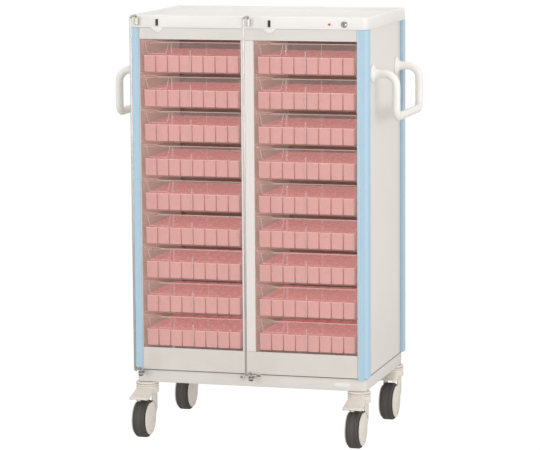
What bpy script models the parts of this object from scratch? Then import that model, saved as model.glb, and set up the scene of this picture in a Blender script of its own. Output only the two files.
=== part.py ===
"""Medication cart: two columns of clear drawers in a sheet-steel carcass on four swivel casters.

Units are metres, +Z is up, the front faces -Y and the cart's right side, seen from the front, is +X.
The origin is on the floor, below the middle of the whole cart's bounding box.
The two lock bars are modelled swung open, pointing forwards, so that every drawer is free to slide.
A piece that turns has its origin on its axis; a drawer has its origin at the foot of its front.
Run with: blender --background --python part.py
"""

import math

import bmesh
import bpy
from mathutils import Matrix, Vector

# Overall sizes
WIDTH = 0.638  # over the corner posts
DEPTH = 0.432  # over the corner posts
GAP = 0.0003  # between pieces that touch

# Casters
WHEEL_DIAMETER = 0.100
WHEEL_WIDTH = 0.032
TYRE_EDGE = 0.006  # rounding of the tread
TYRE_BAND = 0.013  # tread to the rim of the hub
HUB_STEP = 0.0015  # how far the tyre stands proud of the hub's face
AXLE_DIAMETER = 0.010
AXLE_CLEARANCE = 0.0001  # between the axle and its bore
SWIVEL_TRAIL = 0.035  # axle ahead of the swivel axis
SWIVEL_INSET_X = 0.031  # swivel axis in from the posts' outer faces
SWIVEL_INSET_FRONT = 0.027
SWIVEL_INSET_REAR = 0.031
HEAD_DIAMETER = 0.060
HEAD_HEIGHT = 0.011
HEAD_PIN_DIAMETER = 0.016
HEAD_PIN_LENGTH = 0.010
HEAD_PIN_CLEARANCE = 0.0004
HOOD_HEIGHT = 0.019
HOOD_CLEARANCE = 0.0134  # between the hood and the tyre
FORK_SIDE_THICKNESS = 0.0045
FORK_SIDE_CLEARANCE = 0.0012  # between the fork's sides and the tyre
TREAD_SHOWING = 0.007  # tread seen round the fork's discs
LEG_KINK_HEIGHT = 0.017  # where the leg's rear edge turns in, above the axle
LEG_FOOT_DEG = 365  # where that edge meets the disc, from +Y
PEDAL_WIDTH = 0.052
PEDAL_THICKNESS = 0.009
PEDAL_TIP_SETBACK = 0.001  # tip behind the front of the tyre
PEDAL_TIP_DROP = 0.002
PEDAL_TYRE_ROOM = 0.0065  # between the pedal's heel and the tyre
PEDAL_HEEL_GAP = 0.0012  # between the pedal's heel and the hood

# Base
BASE_INSET_X = 0.009
BASE_INSET_Y = 0.012
BASE_HEIGHT = 0.036
BASE_CORNER_RADIUS = 0.008
BASE_SHEET = 0.002

# Corner posts
POST_FRONT_WIDTH = 0.027
POST_SIDE_WIDTH = 0.033
POST_CORNER_RADIUS = 0.009
POST_LAP = 0.004  # the posts hang down over the base by this much

# Sheet-metal skin
SIDE_SETBACK = 0.008  # posts stand proud of the side panels
SHEET = 0.0012
FRAME_SETBACK = 0.002  # front frame behind the posts' faces
FRAME_THICKNESS = 0.010
FRAME_EDGE = 0.0008  # rounding of the frame's edges
TOP_RAIL_HEIGHT = 0.030
BOTTOM_PANEL_HEIGHT = 0.059
MULLION_WIDTH = 0.034
SIDE_LIP = 0.0015  # strip of the side panel beside each opening

# Top tray
TRAY_HEIGHT = 0.032
TRAY_RECESS = 0.011
TRAY_FLOOR = 0.003
TRAY_RIM = 0.014
TRAY_CORNER_RADIUS = 0.010
TRAY_INNER_RADIUS = 0.012

# Drawers, in one column on each side of the mullion
ROWS = 9
ROW_PITCH = 0.090
DRAWER_SIDE_CLEARANCE = 0.0015
DRAWER_TOP_CLEARANCE = 0.0024
DRAWER_FRONT_SETBACK = 0.003
DRAWER_REAR_ROOM = 0.040  # between a shut drawer and the back panel
DRAWER_WALL = 0.0022
DRAWER_FRONT_WALL = 0.003
DRAWER_SIDE_HEIGHT = 0.068

# Runners
LEDGE_THICKNESS = 0.0017
LEDGE_BEARING = 0.004  # how far a ledge reaches below a drawer
RUNNER_FRONT = 0.016  # ledges start behind the posts' faces
RUNNER_REAR_GAP = 0.020  # ledges end ahead of the back panel
RUNNER_WEB = 0.0015
PARTITION_THICKNESS = 0.003

# Lock bars
BAR_DIAMETER = 0.006
BAR_REACH = 0.046  # pivot axis to rod axis
BAR_BEND_RADIUS = 0.006
BAR_STANDOFF = 0.008  # pivot axis ahead of the posts' faces
LEFT_PIVOT_OUTSIDE = 0.0043  # left pivot beyond the outer edge of its opening
RIGHT_PIVOT_INSIDE = 0.010  # right pivot in from the mullion's right edge
BAR_TOP_DROP = 0.0005  # upper arm's axis below the tray's rim
BAR_BOTTOM_RISE = 0.006  # lower arm's axis above the base
BAR_PIN_END = 0.003  # how far the bar's pins come out of their sleeves
PIVOT_CLEARANCE = 0.0004
BEND_ROOM = 0.0006  # between the barrel and the bar's bend
BARREL_DIAMETER = 0.010
BARREL_HEIGHT = 0.017
EYE_DIAMETER = 0.013
EYE_HEIGHT = 0.007
EYE_BELOW_POST = 0.0025
LUG_WIDTH = 0.008

# Latches, lock and lamp on the tray's front
FITTING_DROP = 0.0185  # centres below the tray's rim
LATCH_BEYOND_ROD = 0.0075  # latch centre beyond the shut rod
LATCH_WIDTH = 0.014
LATCH_HEIGHT = 0.024
LATCH_SLOT_WIDTH = 0.0068
LATCH_SLOT_HEIGHT = 0.0165
LATCH_THICKNESS = 0.0012
LOCK_INSET = 0.061  # in from the right end
LOCK_RING_DIAMETER = 0.0165
LOCK_RING_THICKNESS = 0.002
LOCK_RING_EDGE = 0.0008
LOCK_PLUG_DIAMETER = 0.0115
LOCK_PLUG_LENGTH = 0.0035
LAMP_INSET = 0.100
LAMP_DIAMETER = 0.006
LAMP_LENGTH = 0.0025

# Push handles
HANDLE_TUBE_DIAMETER = 0.021
HANDLE_LEG_INSET = 0.0835  # legs in from the front and the rear
HANDLE_PROJECTION = 0.063
HANDLE_DROP = 0.112  # legs to grip
HANDLE_BELOW_TRAY = 0.117
HANDLE_BEND_RADIUS = 0.032
FLANGE_DIAMETER = 0.048
FLANGE_THICKNESS = 0.006

# Heights, worked out from the floor up
WHEEL_RADIUS = WHEEL_DIAMETER / 2
HOOD_BOTTOM = WHEEL_DIAMETER + HOOD_CLEARANCE
HOOD_TOP = HOOD_BOTTOM + HOOD_HEIGHT
HEAD_BOTTOM = HOOD_TOP + GAP
HEAD_TOP = HEAD_BOTTOM + HEAD_HEIGHT
BASE_BOTTOM = HEAD_TOP + GAP
BASE_TOP = BASE_BOTTOM + BASE_HEIGHT
OPENING_BOTTOM = BASE_TOP + BOTTOM_PANEL_HEIGHT
OPENING_TOP = OPENING_BOTTOM + ROWS * ROW_PITCH
TRAY_BOTTOM = OPENING_TOP + TOP_RAIL_HEIGHT
HEIGHT = TRAY_BOTTOM + TRAY_HEIGHT
FITTING_Z = HEIGHT - FITTING_DROP
POST_BOTTOM = BASE_TOP - POST_LAP

# Depths, worked out from what reaches furthest forwards
BAR_RADIUS = BAR_DIAMETER / 2
FRONT_REACH = max(
    BAR_STANDOFF + BAR_REACH + BAR_RADIUS,
    SWIVEL_TRAIL + WHEEL_RADIUS - SWIVEL_INSET_FRONT,
)
Y_FRONT = (FRONT_REACH - DEPTH) / 2
Y_BACK = Y_FRONT + DEPTH
Y_FRAME = Y_FRONT + FRAME_SETBACK
Y_SKIN_FRONT = Y_FRONT + BASE_INSET_Y
Y_SKIN_BACK = Y_BACK - BASE_INSET_Y
Y_PIVOT = Y_FRONT - BAR_STANDOFF
DRAWER_FRONT = Y_FRONT + DRAWER_FRONT_SETBACK
DRAWER_REAR = Y_SKIN_BACK - SHEET - DRAWER_REAR_ROOM

# Widths, worked out from the middle
FRAME_HALF = WIDTH / 2 - POST_FRONT_WIDTH - GAP  # front frame's end, between the posts
OPENING_OUTER = FRAME_HALF - SIDE_LIP
OPENING_INNER = MULLION_WIDTH / 2
COLUMN_CENTRE = (OPENING_OUTER + OPENING_INNER) / 2
DRAWER_HALF = (OPENING_OUTER - OPENING_INNER) / 2 - DRAWER_SIDE_CLEARANCE
PANEL_OUTER = WIDTH / 2 - SIDE_SETBACK
PIVOTS = {"left": -OPENING_OUTER - LEFT_PIVOT_OUTSIDE, "right": OPENING_INNER - RIGHT_PIVOT_INSIDE}
SIDES = (("left", -1), ("right", 1))


def clear_scene():
    """Removes every object of the scene, so that only the cart is left."""
    for obj in list(bpy.data.objects):
        bpy.data.objects.remove(obj, do_unlink=True)


def material(name, colour, roughness, metallic=0.0, alpha=1.0):
    """A Principled material with one colour, roughness and metallic value."""
    made = bpy.data.materials.new(name)
    made.use_nodes = True
    shader = made.node_tree.nodes["Principled BSDF"]
    shader.inputs["Base Color"].default_value = (*colour, 1.0)
    shader.inputs["Roughness"].default_value = roughness
    shader.inputs["Metallic"].default_value = metallic
    shader.inputs["Alpha"].default_value = alpha
    return made


def finish(obj, look, smooth=False):
    """Gives an object its material and, if it is round, smooth shading with sharp edges kept."""
    obj.data.materials.clear()
    obj.data.materials.append(look)
    if smooth:
        obj.data.shade_smooth()
        obj.data.set_sharp_from_angle(angle=math.radians(35))
    return obj


def object_from(name, bm):
    """Turns a bmesh into an object of the scene."""
    bmesh.ops.remove_doubles(bm, verts=bm.verts, dist=1e-6)
    bmesh.ops.recalc_face_normals(bm, faces=bm.faces)
    mesh = bpy.data.meshes.new(name)
    bm.to_mesh(mesh)
    bm.free()
    obj = bpy.data.objects.new(name, mesh)
    bpy.context.scene.collection.objects.link(obj)
    return obj


def box_mesh(bm, low, high):
    """Adds a box between two corners to a bmesh."""
    size = [b - a for a, b in zip(low, high)]
    middle = [(a + b) / 2 for a, b in zip(low, high)]
    place = Matrix.Translation(middle) @ Matrix.Diagonal((*size, 1.0))
    bmesh.ops.create_cube(bm, size=1.0, matrix=place)


def box(name, low, high, look, bevel=0.0):
    """A box between two corners, with its edges rounded if a bevel is given."""
    bm = bmesh.new()
    box_mesh(bm, low, high)
    obj = object_from(name, bm)
    if bevel:
        rounding = obj.modifiers.new("rounding", "BEVEL")
        rounding.width = bevel
        rounding.segments = 2
    return finish(obj, look, smooth=bool(bevel))


def prism_mesh(bm, outline, low, high, axis="Z"):
    """Adds a closed outline extruded between two heights. The outline's plane is across the axis.

    For Z the outline holds (x, y), for X it holds (y, z) and for Y it holds (x, z).
    """
    lift = {
        "Z": lambda u, v, h: (u, v, h),
        "X": lambda u, v, h: (h, u, v),
        "Y": lambda u, v, h: (u, h, v),
    }[axis]
    bottom = [bm.verts.new(lift(u, v, low)) for u, v in outline]
    top = [bm.verts.new(lift(u, v, high)) for u, v in outline]
    bm.faces.new(bottom)
    bm.faces.new(reversed(top))
    for i in range(len(outline)):
        j = (i + 1) % len(outline)
        bm.faces.new((bottom[i], top[i], top[j], bottom[j]))


def prism(name, outline, low, high, look, axis="Z", smooth=False):
    """An object from one extruded outline."""
    bm = bmesh.new()
    prism_mesh(bm, outline, low, high, axis)
    return finish(object_from(name, bm), look, smooth)


def arc(centre, radius, start_deg, end_deg, steps):
    """Points along an arc, both ends included."""
    angles = [
        math.radians(start_deg + (end_deg - start_deg) * i / steps)
        for i in range(steps + 1)
    ]
    return [
        (centre[0] + radius * math.cos(a), centre[1] + radius * math.sin(a))
        for a in angles
    ]


def rounded_rectangle(half_x, y_low, y_high, radius, steps=5):
    """A rectangle's outline, symmetric in X, with its four corners rounded."""
    x = half_x - radius
    return (
        arc((x, y_low + radius), radius, -90, 0, steps)
        + arc((x, y_high - radius), radius, 0, 90, steps)
        + arc((-x, y_high - radius), radius, 90, 180, steps)
        + arc((-x, y_low + radius), radius, 180, 270, steps)
    )


def turned(name, profile, steps, matrix, look):
    """A ring: a closed profile of (radius, height) that stays off its axis, turned about Z and placed."""
    bm = bmesh.new()
    rings = []
    for k in range(steps):
        turn = matrix @ Matrix.Rotation(2 * math.pi * k / steps, 4, "Z")
        rings.append([bm.verts.new(turn @ Vector((r, 0.0, h))) for r, h in profile])
    for k in range(steps):
        here, there = rings[k], rings[(k + 1) % steps]
        for i in range(len(profile)):
            j = (i + 1) % len(profile)
            bm.faces.new((here[i], here[j], there[j], there[i]))
    return finish(object_from(name, bm), look, smooth=True)


def rod_mesh(bm, radius, low, high, steps, matrix):
    """Adds a cylinder along Z between two heights, then placed by a matrix."""
    place = matrix @ Matrix.Translation((0, 0, (low + high) / 2))
    bmesh.ops.create_cone(
        bm,
        cap_ends=True,
        segments=steps,
        radius1=radius,
        radius2=radius,
        depth=high - low,
        matrix=place,
    )


def boolean(obj, other, operation):
    """Joins another object to this one, or cuts it from this one; the other is no part of the cart."""
    other.hide_render = True
    other.display_type = "WIRE"
    change = obj.modifiers.new(operation.lower() + "_" + other.name, "BOOLEAN")
    change.operation = operation
    change.solver = "EXACT"
    change.object = other


def pivot_at(obj, point):
    """Puts an object's origin at a point of the cart without moving its shape."""
    obj.data.transform(Matrix.Translation(-Vector(point)))
    obj.location = point


def bent_path(corners, radius, steps):
    """A path through the corners with every inner corner rounded by an arc."""
    points = [Vector(corners[0])]
    for before, corner, after in zip(corners, corners[1:], corners[2:]):
        here = Vector(corner)
        u = (Vector(before) - here).normalized()
        v = (Vector(after) - here).normalized()
        half = u.angle(v) / 2
        run = radius / math.tan(half)
        centre = here + (u + v).normalized() * (radius / math.sin(half))
        first = here + u * run - centre
        last = here + v * run - centre
        turn = first.angle(last)
        for i in range(steps + 1):
            t = i / steps
            spread = math.sin(turn)
            at = first * (math.sin((1 - t) * turn) / spread) + last * (math.sin(t * turn) / spread)
            points.append(centre + at)
    points.append(Vector(corners[-1]))
    return points


def bent_rod(name, points, diameter, sides):
    """A round bar along a path: rings of equal sides carried along it, with both ends capped."""
    bm = bmesh.new()
    steps = [(b - a).normalized() for a, b in zip(points, points[1:])]
    directions = [steps[0]] + [(a + b).normalized() for a, b in zip(steps, steps[1:])] + [steps[-1]]
    across = directions[0].orthogonal()
    rings = []
    for point, along in zip(points, directions):
        across = (across - along * across.dot(along)).normalized()
        other = along.cross(across)
        ring = []
        for k in range(sides):
            a = 2 * math.pi * (k + 0.5) / sides
            offset = (across * math.cos(a) + other * math.sin(a)) * diameter / 2
            ring.append(bm.verts.new(point + offset))
        rings.append(ring)
    for here, there in zip(rings, rings[1:]):
        for k in range(sides):
            j = (k + 1) % sides
            bm.faces.new((here[k], here[j], there[j], there[k]))
    bm.faces.new(reversed(rings[0]))
    bm.faces.new(rings[-1])
    return object_from(name, bm)


def slab_outline(half_x, inset, radius):
    """A rounded rectangle in from a rectangle of the skin's depth, by the same inset all round."""
    return rounded_rectangle(half_x - inset, Y_SKIN_FRONT + inset, Y_SKIN_BACK - inset, radius)


def make_base(looks):
    """The plinth under the carcass: a welded pan, open at the top, that carries the casters."""
    half = WIDTH / 2 - BASE_INSET_X
    outer = slab_outline(half, 0.0, BASE_CORNER_RADIUS)
    inner = slab_outline(half, BASE_SHEET, BASE_CORNER_RADIUS - BASE_SHEET)
    base = prism("base", outer, BASE_BOTTOM, BASE_TOP, looks["base"], smooth=True)
    floor = BASE_BOTTOM + BASE_SHEET
    boolean(base, prism("base_inside", inner, floor, BASE_TOP + BASE_SHEET, looks["base"]), "DIFFERENCE")


def make_posts(looks):
    """Four L-section corner posts, each with its outer corner rounded, which wrap the skin's corners."""
    outer = WIDTH / 2
    front_end = outer - POST_FRONT_WIDTH
    inside = outer - SIDE_SETBACK + GAP
    front_leg = BASE_INSET_Y - GAP
    r = POST_CORNER_RADIUS
    shape = [(front_end, 0.0)] + arc((outer - r, r), r, -90, 0, 6)
    shape += [(outer, POST_SIDE_WIDTH), (inside, POST_SIDE_WIDTH)]
    shape += [(inside, front_leg), (front_end, front_leg)]
    for side, sx in SIDES:
        for end, sy, y in (("front", 1, Y_FRONT), ("rear", -1, Y_BACK)):
            outline = [(sx * u, y + sy * v) for u, v in shape]
            name = f"corner_post_{end}_{side}"
            prism(name, outline, POST_BOTTOM, TRAY_BOTTOM - GAP, looks["post"], smooth=True)


def make_side_panels(looks):
    """Each side is one folded sheet: the outer wall, a web behind each post and a lip at the opening."""
    return_end = PANEL_OUTER - POST_FRONT_WIDTH
    section = [
        (PANEL_OUTER, Y_SKIN_FRONT),
        (PANEL_OUTER, Y_SKIN_BACK),
        (return_end, Y_SKIN_BACK),
        (return_end, Y_SKIN_BACK - SHEET),
        (PANEL_OUTER - SHEET, Y_SKIN_BACK - SHEET),
        (PANEL_OUTER - SHEET, Y_SKIN_FRONT + SHEET),
        (OPENING_OUTER, Y_SKIN_FRONT + SHEET),
        (OPENING_OUTER, Y_FRAME),
        (FRAME_HALF, Y_FRAME),
        (FRAME_HALF, Y_SKIN_FRONT),
    ]
    for side, s in SIDES:
        outline = [(s * u, v) for u, v in section]
        prism(f"side_panel_{side}", outline, BASE_TOP + GAP, TRAY_BOTTOM - GAP, looks["carcass"])


def make_front_frame(looks):
    """The top rail, the bottom panel and the mullion round the drawers: shallow pans, open behind."""
    half = OPENING_OUTER - GAP
    back = Y_FRAME + FRAME_THICKNESS
    spans = {
        "front_top_rail": (half, OPENING_TOP, TRAY_BOTTOM - GAP),
        "front_bottom_panel": (half, BASE_TOP + GAP, OPENING_BOTTOM),
        "centre_mullion": (OPENING_INNER, OPENING_BOTTOM + GAP, OPENING_TOP - GAP),
    }
    for name, (x, low, high) in spans.items():
        pan = box(name, (-x, Y_FRAME, low), (x, back, high), looks["carcass"], bevel=FRAME_EDGE)
        low_corner = (SHEET - x, Y_FRAME + SHEET, low + SHEET)
        high_corner = (x - SHEET, back + SHEET, high - SHEET)
        boolean(pan, box(name + "_inside", low_corner, high_corner, looks["carcass"]), "DIFFERENCE")


def make_back_panel(looks):
    """The flat sheet that closes the back between the rear posts."""
    half = PANEL_OUTER - POST_FRONT_WIDTH - GAP
    low = (-half, Y_SKIN_BACK - SHEET, BASE_TOP + GAP)
    high = (half, Y_SKIN_BACK, TRAY_BOTTOM - GAP)
    box("back_panel", low, high, looks["carcass"])


def row_bottom(row):
    """Height of the bottom of a row's cell; rows count down from 1 at the top."""
    return OPENING_TOP - row * ROW_PITCH


def ledges(root, reach):
    """The toothed edge of a runner: one ledge for each row, from the lowest up, as (x, z) points."""
    points = []
    for row in range(ROWS, 0, -1):
        z = row_bottom(row)
        top = z + LEDGE_THICKNESS
        points += [(root, z), (reach, z), (reach, top), (root, top)]
    return points


def runner(name, outline, looks):
    """A runner from its section, as long as the ledges are deep."""
    front = Y_FRONT + RUNNER_FRONT
    rear = Y_SKIN_BACK - SHEET - RUNNER_REAR_GAP
    prism(name, outline, front, rear, looks["runner"], axis="Y")


def make_runners(looks):
    """The ledges that carry the drawers: a rack on each side panel and a double one in the middle."""
    low = row_bottom(ROWS)
    half = PARTITION_THICKNESS / 2
    inner = OPENING_INNER + DRAWER_SIDE_CLEARANCE + LEDGE_BEARING
    middle = ledges(half, inner) + [(half, OPENING_TOP), (-half, OPENING_TOP)] + ledges(-half, -inner)[::-1]
    runner("centre_partition", middle, looks)
    outer = OPENING_OUTER - DRAWER_SIDE_CLEARANCE - LEDGE_BEARING
    wall = PANEL_OUTER - SHEET - GAP
    web = wall - RUNNER_WEB
    rack = ledges(web, outer) + [(web, OPENING_TOP), (wall, OPENING_TOP), (wall, low)]
    for side, s in SIDES:
        runner(f"runner_rack_{side}", [(s * x, z) for x, z in rack], looks)


def make_tray(looks):
    """The moulded top: a rim with rounded corners round a thin floor, with a hollow above and below it."""
    outer = rounded_rectangle(WIDTH / 2, Y_FRONT, Y_BACK, TRAY_CORNER_RADIUS)
    inner = rounded_rectangle(
        WIDTH / 2 - TRAY_RIM, Y_FRONT + TRAY_RIM, Y_BACK - TRAY_RIM, TRAY_INNER_RADIUS
    )
    tray = prism("top_tray", outer, TRAY_BOTTOM, HEIGHT, looks["tray"], smooth=True)
    floor = HEIGHT - TRAY_RECESS
    spans = {
        "tray_recess": (floor, HEIGHT + TRAY_RECESS),
        "tray_underside": (TRAY_BOTTOM - TRAY_RECESS, floor - TRAY_FLOOR),
    }
    for name, (low, high) in spans.items():
        boolean(tray, prism(name, inner, low, high, looks["tray"]), "DIFFERENCE")


def make_drawer(name, centre_x, row, looks):
    """One clear drawer: a floor, two sides and a back, and a taller front plate, open at the top."""
    floor = row_bottom(row) + LEDGE_THICKNESS + GAP
    top = row_bottom(row) + ROW_PITCH - DRAWER_TOP_CLEARANCE
    rim = floor + DRAWER_SIDE_HEIGHT
    inner_front = DRAWER_FRONT + DRAWER_FRONT_WALL
    profile = [
        (DRAWER_FRONT, floor),
        (DRAWER_REAR, floor),
        (DRAWER_REAR, rim),
        (inner_front, rim),
        (inner_front, top),
        (DRAWER_FRONT, top),
    ]
    body = prism(name, profile, centre_x - DRAWER_HALF, centre_x + DRAWER_HALF, looks["drawer"], axis="X")
    inside = DRAWER_HALF - DRAWER_WALL
    low = (centre_x - inside, inner_front, floor + DRAWER_WALL)
    high = (centre_x + inside, DRAWER_REAR - DRAWER_WALL, top + DRAWER_WALL)
    boolean(body, box(name + "_inside", low, high, looks["drawer"]), "DIFFERENCE")
    pivot_at(body, (centre_x, DRAWER_FRONT, floor))


def make_drawers(looks):
    """Two columns of drawers, named by column and row, counted from the top."""
    for side, s in SIDES:
        for row in range(1, ROWS + 1):
            make_drawer(f"drawer_{side}_{row}", s * COLUMN_CENTRE, row, looks)


def make_handles(looks):
    """A bail-shaped push handle on each side: two flanged legs joined by a lower grip bar."""
    front = Y_FRONT + HANDLE_LEG_INSET
    rear = Y_BACK - HANDLE_LEG_INSET
    high = TRAY_BOTTOM - HANDLE_BELOW_TRAY
    low = high - HANDLE_DROP
    for side, s in SIDES:
        wall = s * (PANEL_OUTER + GAP)
        reach = s * (PANEL_OUTER + HANDLE_PROJECTION)
        corners = [(wall, front, high), (reach, front, high), (reach, front, low)]
        corners += [(reach, rear, low), (reach, rear, high), (wall, rear, high)]
        name = f"push_handle_{side}"
        grip = bent_rod(name, bent_path(corners, HANDLE_BEND_RADIUS, 5), HANDLE_TUBE_DIAMETER, 12)
        turn = Matrix.Rotation(math.radians(90 * s), 4, "Y")
        for end, y in (("front", front), ("rear", rear)):
            bm = bmesh.new()
            place = Matrix.Translation((wall, y, high)) @ turn
            rod_mesh(bm, FLANGE_DIAMETER / 2, 0.0, FLANGE_THICKNESS, 24, place)
            boolean(grip, object_from(f"{name}_flange_{end}", bm), "UNION")
        finish(grip, looks["handle"], smooth=True)


def make_sleeve(name, x, diameter, low, high, wall, looks):
    """An upright sleeve round a lock bar's pin, with a lug back to the face that carries it."""
    place = Matrix.Translation((x, Y_PIVOT, 0))
    bm = bmesh.new()
    rod_mesh(bm, diameter / 2, low, high, 20, place)
    sleeve = finish(object_from(name, bm), looks["steel"], smooth=True)
    half = LUG_WIDTH / 2
    lug = box(name + "_lug", (x - half, Y_PIVOT, low), (x + half, wall - GAP, high), looks["steel"])
    boolean(sleeve, lug, "UNION")
    bm = bmesh.new()
    rod_mesh(bm, BAR_RADIUS + PIVOT_CLEARANCE, low - diameter, high + diameter, 20, place)
    boolean(sleeve, object_from(name + "_bore", bm), "DIFFERENCE")


def make_lock_bars(looks):
    """Each lock bar is one bent rod, here swung open, held by a barrel at the top and an eye below."""
    top = HEIGHT - BAR_TOP_DROP
    bottom = BASE_TOP + BAR_BOTTOM_RISE
    out = Y_PIVOT - BAR_REACH
    barrel_top = top - BAR_BEND_RADIUS - BEND_ROOM
    barrel_bottom = barrel_top - BARREL_HEIGHT
    eye_top = POST_BOTTOM - EYE_BELOW_POST
    eye_bottom = eye_top - EYE_HEIGHT
    for side, x in PIVOTS.items():
        corners = [
            (x, Y_PIVOT, eye_bottom - BAR_PIN_END),
            (x, Y_PIVOT, bottom),
            (x, out, bottom),
            (x, out, top),
            (x, Y_PIVOT, top),
            (x, Y_PIVOT, barrel_bottom - BAR_PIN_END),
        ]
        bar = bent_rod(f"lock_bar_{side}", bent_path(corners, BAR_BEND_RADIUS, 4), BAR_DIAMETER, 10)
        finish(bar, looks["steel"], smooth=True)
        pivot_at(bar, (x, Y_PIVOT, bottom))
        make_sleeve(f"bar_barrel_{side}", x, BARREL_DIAMETER, barrel_bottom, barrel_top, Y_FRONT, looks)
        make_sleeve(f"bar_eye_{side}", x, EYE_DIAMETER, eye_bottom, eye_top, Y_SKIN_FRONT, looks)


def make_latches(looks):
    """The two slotted latch plates on the tray's front, one for each lock bar."""
    face = Y_FRONT - GAP
    for side, pivot in PIVOTS.items():
        x = pivot + BAR_REACH + LATCH_BEYOND_ROD
        low = (x - LATCH_WIDTH / 2, face - LATCH_THICKNESS, FITTING_Z - LATCH_HEIGHT / 2)
        high = (x + LATCH_WIDTH / 2, face, FITTING_Z + LATCH_HEIGHT / 2)
        plate = box(f"latch_plate_{side}", low, high, looks["latch"])
        low = (x - LATCH_SLOT_WIDTH / 2, face - 2 * LATCH_THICKNESS, FITTING_Z - LATCH_SLOT_HEIGHT / 2)
        high = (x + LATCH_SLOT_WIDTH / 2, face + LATCH_THICKNESS, FITTING_Z + LATCH_SLOT_HEIGHT / 2)
        boolean(plate, box(f"latch_slot_{side}", low, high, looks["latch"]), "DIFFERENCE")


def make_lock_and_lamp(looks):
    """The key lock's ring and turning plug, and the small lamp, all on the tray's front."""
    forwards = Matrix.Rotation(math.radians(90), 4, "X")
    centre = (WIDTH / 2 - LOCK_INSET, Y_FRONT - GAP, FITTING_Z)
    place = Matrix.Translation(centre) @ forwards
    bore = LOCK_PLUG_DIAMETER / 2 + PIVOT_CLEARANCE
    outer = LOCK_RING_DIAMETER / 2
    shoulder = LOCK_RING_THICKNESS - LOCK_RING_EDGE
    profile = [(bore, 0.0), (outer, 0.0), (outer, shoulder)]
    profile += [(outer - LOCK_RING_EDGE, LOCK_RING_THICKNESS), (bore, LOCK_RING_THICKNESS)]
    turned("lock_ring", profile, 28, place, looks["chrome"])
    bm = bmesh.new()
    rod_mesh(bm, LOCK_PLUG_DIAMETER / 2, 0.0, LOCK_PLUG_LENGTH, 24, place)
    plug = finish(object_from("lock_plug", bm), looks["chrome"], smooth=True)
    pivot_at(plug, centre)
    place = Matrix.Translation((WIDTH / 2 - LAMP_INSET, Y_FRONT - GAP, FITTING_Z)) @ forwards
    bm = bmesh.new()
    rod_mesh(bm, LAMP_DIAMETER / 2, 0.0, LAMP_LENGTH, 20, place)
    finish(object_from("status_lamp", bm), looks["lamp"], smooth=True)


def make_wheel(name, x, y, looks):
    """A wheel about the X axis: a rounded tyre with a slightly sunk hub and a bore for the axle."""
    half = WHEEL_WIDTH / 2
    bore = AXLE_DIAMETER / 2 + AXLE_CLEARANCE
    hub = WHEEL_RADIUS - TYRE_BAND
    shoulder = WHEEL_RADIUS - TYRE_EDGE
    profile = [(bore, -half + HUB_STEP), (hub, -half + HUB_STEP), (hub + HUB_STEP, -half)]
    profile += arc((shoulder, -half + TYRE_EDGE), TYRE_EDGE, -90, 0, 3)
    profile += arc((shoulder, half - TYRE_EDGE), TYRE_EDGE, 0, 90, 3)
    profile += [(hub + HUB_STEP, half), (hub, half - HUB_STEP), (bore, half - HUB_STEP)]
    place = Matrix.Translation((x, y, WHEEL_RADIUS)) @ Matrix.Rotation(math.radians(90), 4, "Y")
    wheel = turned(name, profile, 36, place, looks["tyre"])
    pivot_at(wheel, (x, y, WHEEL_RADIUS))


def make_head(name, x, y, looks):
    """The fixed cap under the base, with the short pin that the fork turns about."""
    place = Matrix.Translation((x, y, 0))
    bm = bmesh.new()
    rod_mesh(bm, HEAD_DIAMETER / 2, HEAD_BOTTOM, HEAD_TOP, 32, place)
    head = finish(object_from(name, bm), looks["caster"], smooth=True)
    bm = bmesh.new()
    middle = (HEAD_BOTTOM + HEAD_TOP) / 2
    rod_mesh(bm, HEAD_PIN_DIAMETER / 2, HEAD_BOTTOM - HEAD_PIN_LENGTH, middle, 20, place)
    boolean(head, object_from(name + "_pin", bm), "UNION")


def fork_outline(y, chord):
    """A fork side's outline in (y, z): a disc round the axle and a leg up to the middle of the hood."""
    axle = (y - SWIVEL_TRAIL, WHEEL_RADIUS)
    disc = WHEEL_RADIUS - TREAD_SHOWING
    top = (HOOD_BOTTOM + HOOD_TOP) / 2
    start = math.degrees(math.acos((SWIVEL_TRAIL - chord) / disc))
    points = [(y - chord, top)] + arc(axle, disc, start, LEG_FOOT_DEG, 26)
    return points + [(y + chord, WHEEL_RADIUS + LEG_KINK_HEIGHT), (y + chord, top)]


def make_fork(name, x, y, looks):
    """The turning fork: a hood under the head, two side discs that cover the wheel, and the axle."""
    radius = HEAD_DIAMETER / 2
    inner = WHEEL_WIDTH / 2 + FORK_SIDE_CLEARANCE
    outer = inner + FORK_SIDE_THICKNESS
    place = Matrix.Translation((x, y, 0))
    bm = bmesh.new()
    rod_mesh(bm, radius, HOOD_BOTTOM, HOOD_TOP, 32, place)
    fork = finish(object_from(name, bm), looks["caster"], smooth=True)
    outline = fork_outline(y, math.sqrt(radius**2 - outer**2))
    for side, s in SIDES:
        low, high = sorted((x + s * inner, x + s * outer))
        plate = prism(f"{name}_side_{side}", outline, low, high, looks["caster"], axis="X")
        boolean(fork, plate, "UNION")
    half = (inner + outer) / 2
    turn = Matrix.Rotation(math.radians(90), 4, "Y")
    across = Matrix.Translation((x, y - SWIVEL_TRAIL, WHEEL_RADIUS)) @ turn
    bm = bmesh.new()
    rod_mesh(bm, AXLE_DIAMETER / 2, -half, half, 20, across)
    boolean(fork, object_from(name + "_axle", bm), "UNION")
    bore = HEAD_PIN_DIAMETER / 2 + HEAD_PIN_CLEARANCE
    bm = bmesh.new()
    rod_mesh(bm, bore, HEAD_BOTTOM - HEAD_PIN_LENGTH - HEAD_PIN_CLEARANCE, HEAD_TOP, 20, place)
    boolean(fork, object_from(name + "_bore", bm), "DIFFERENCE")
    pivot_at(fork, (x, y, WHEEL_RADIUS))


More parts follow.
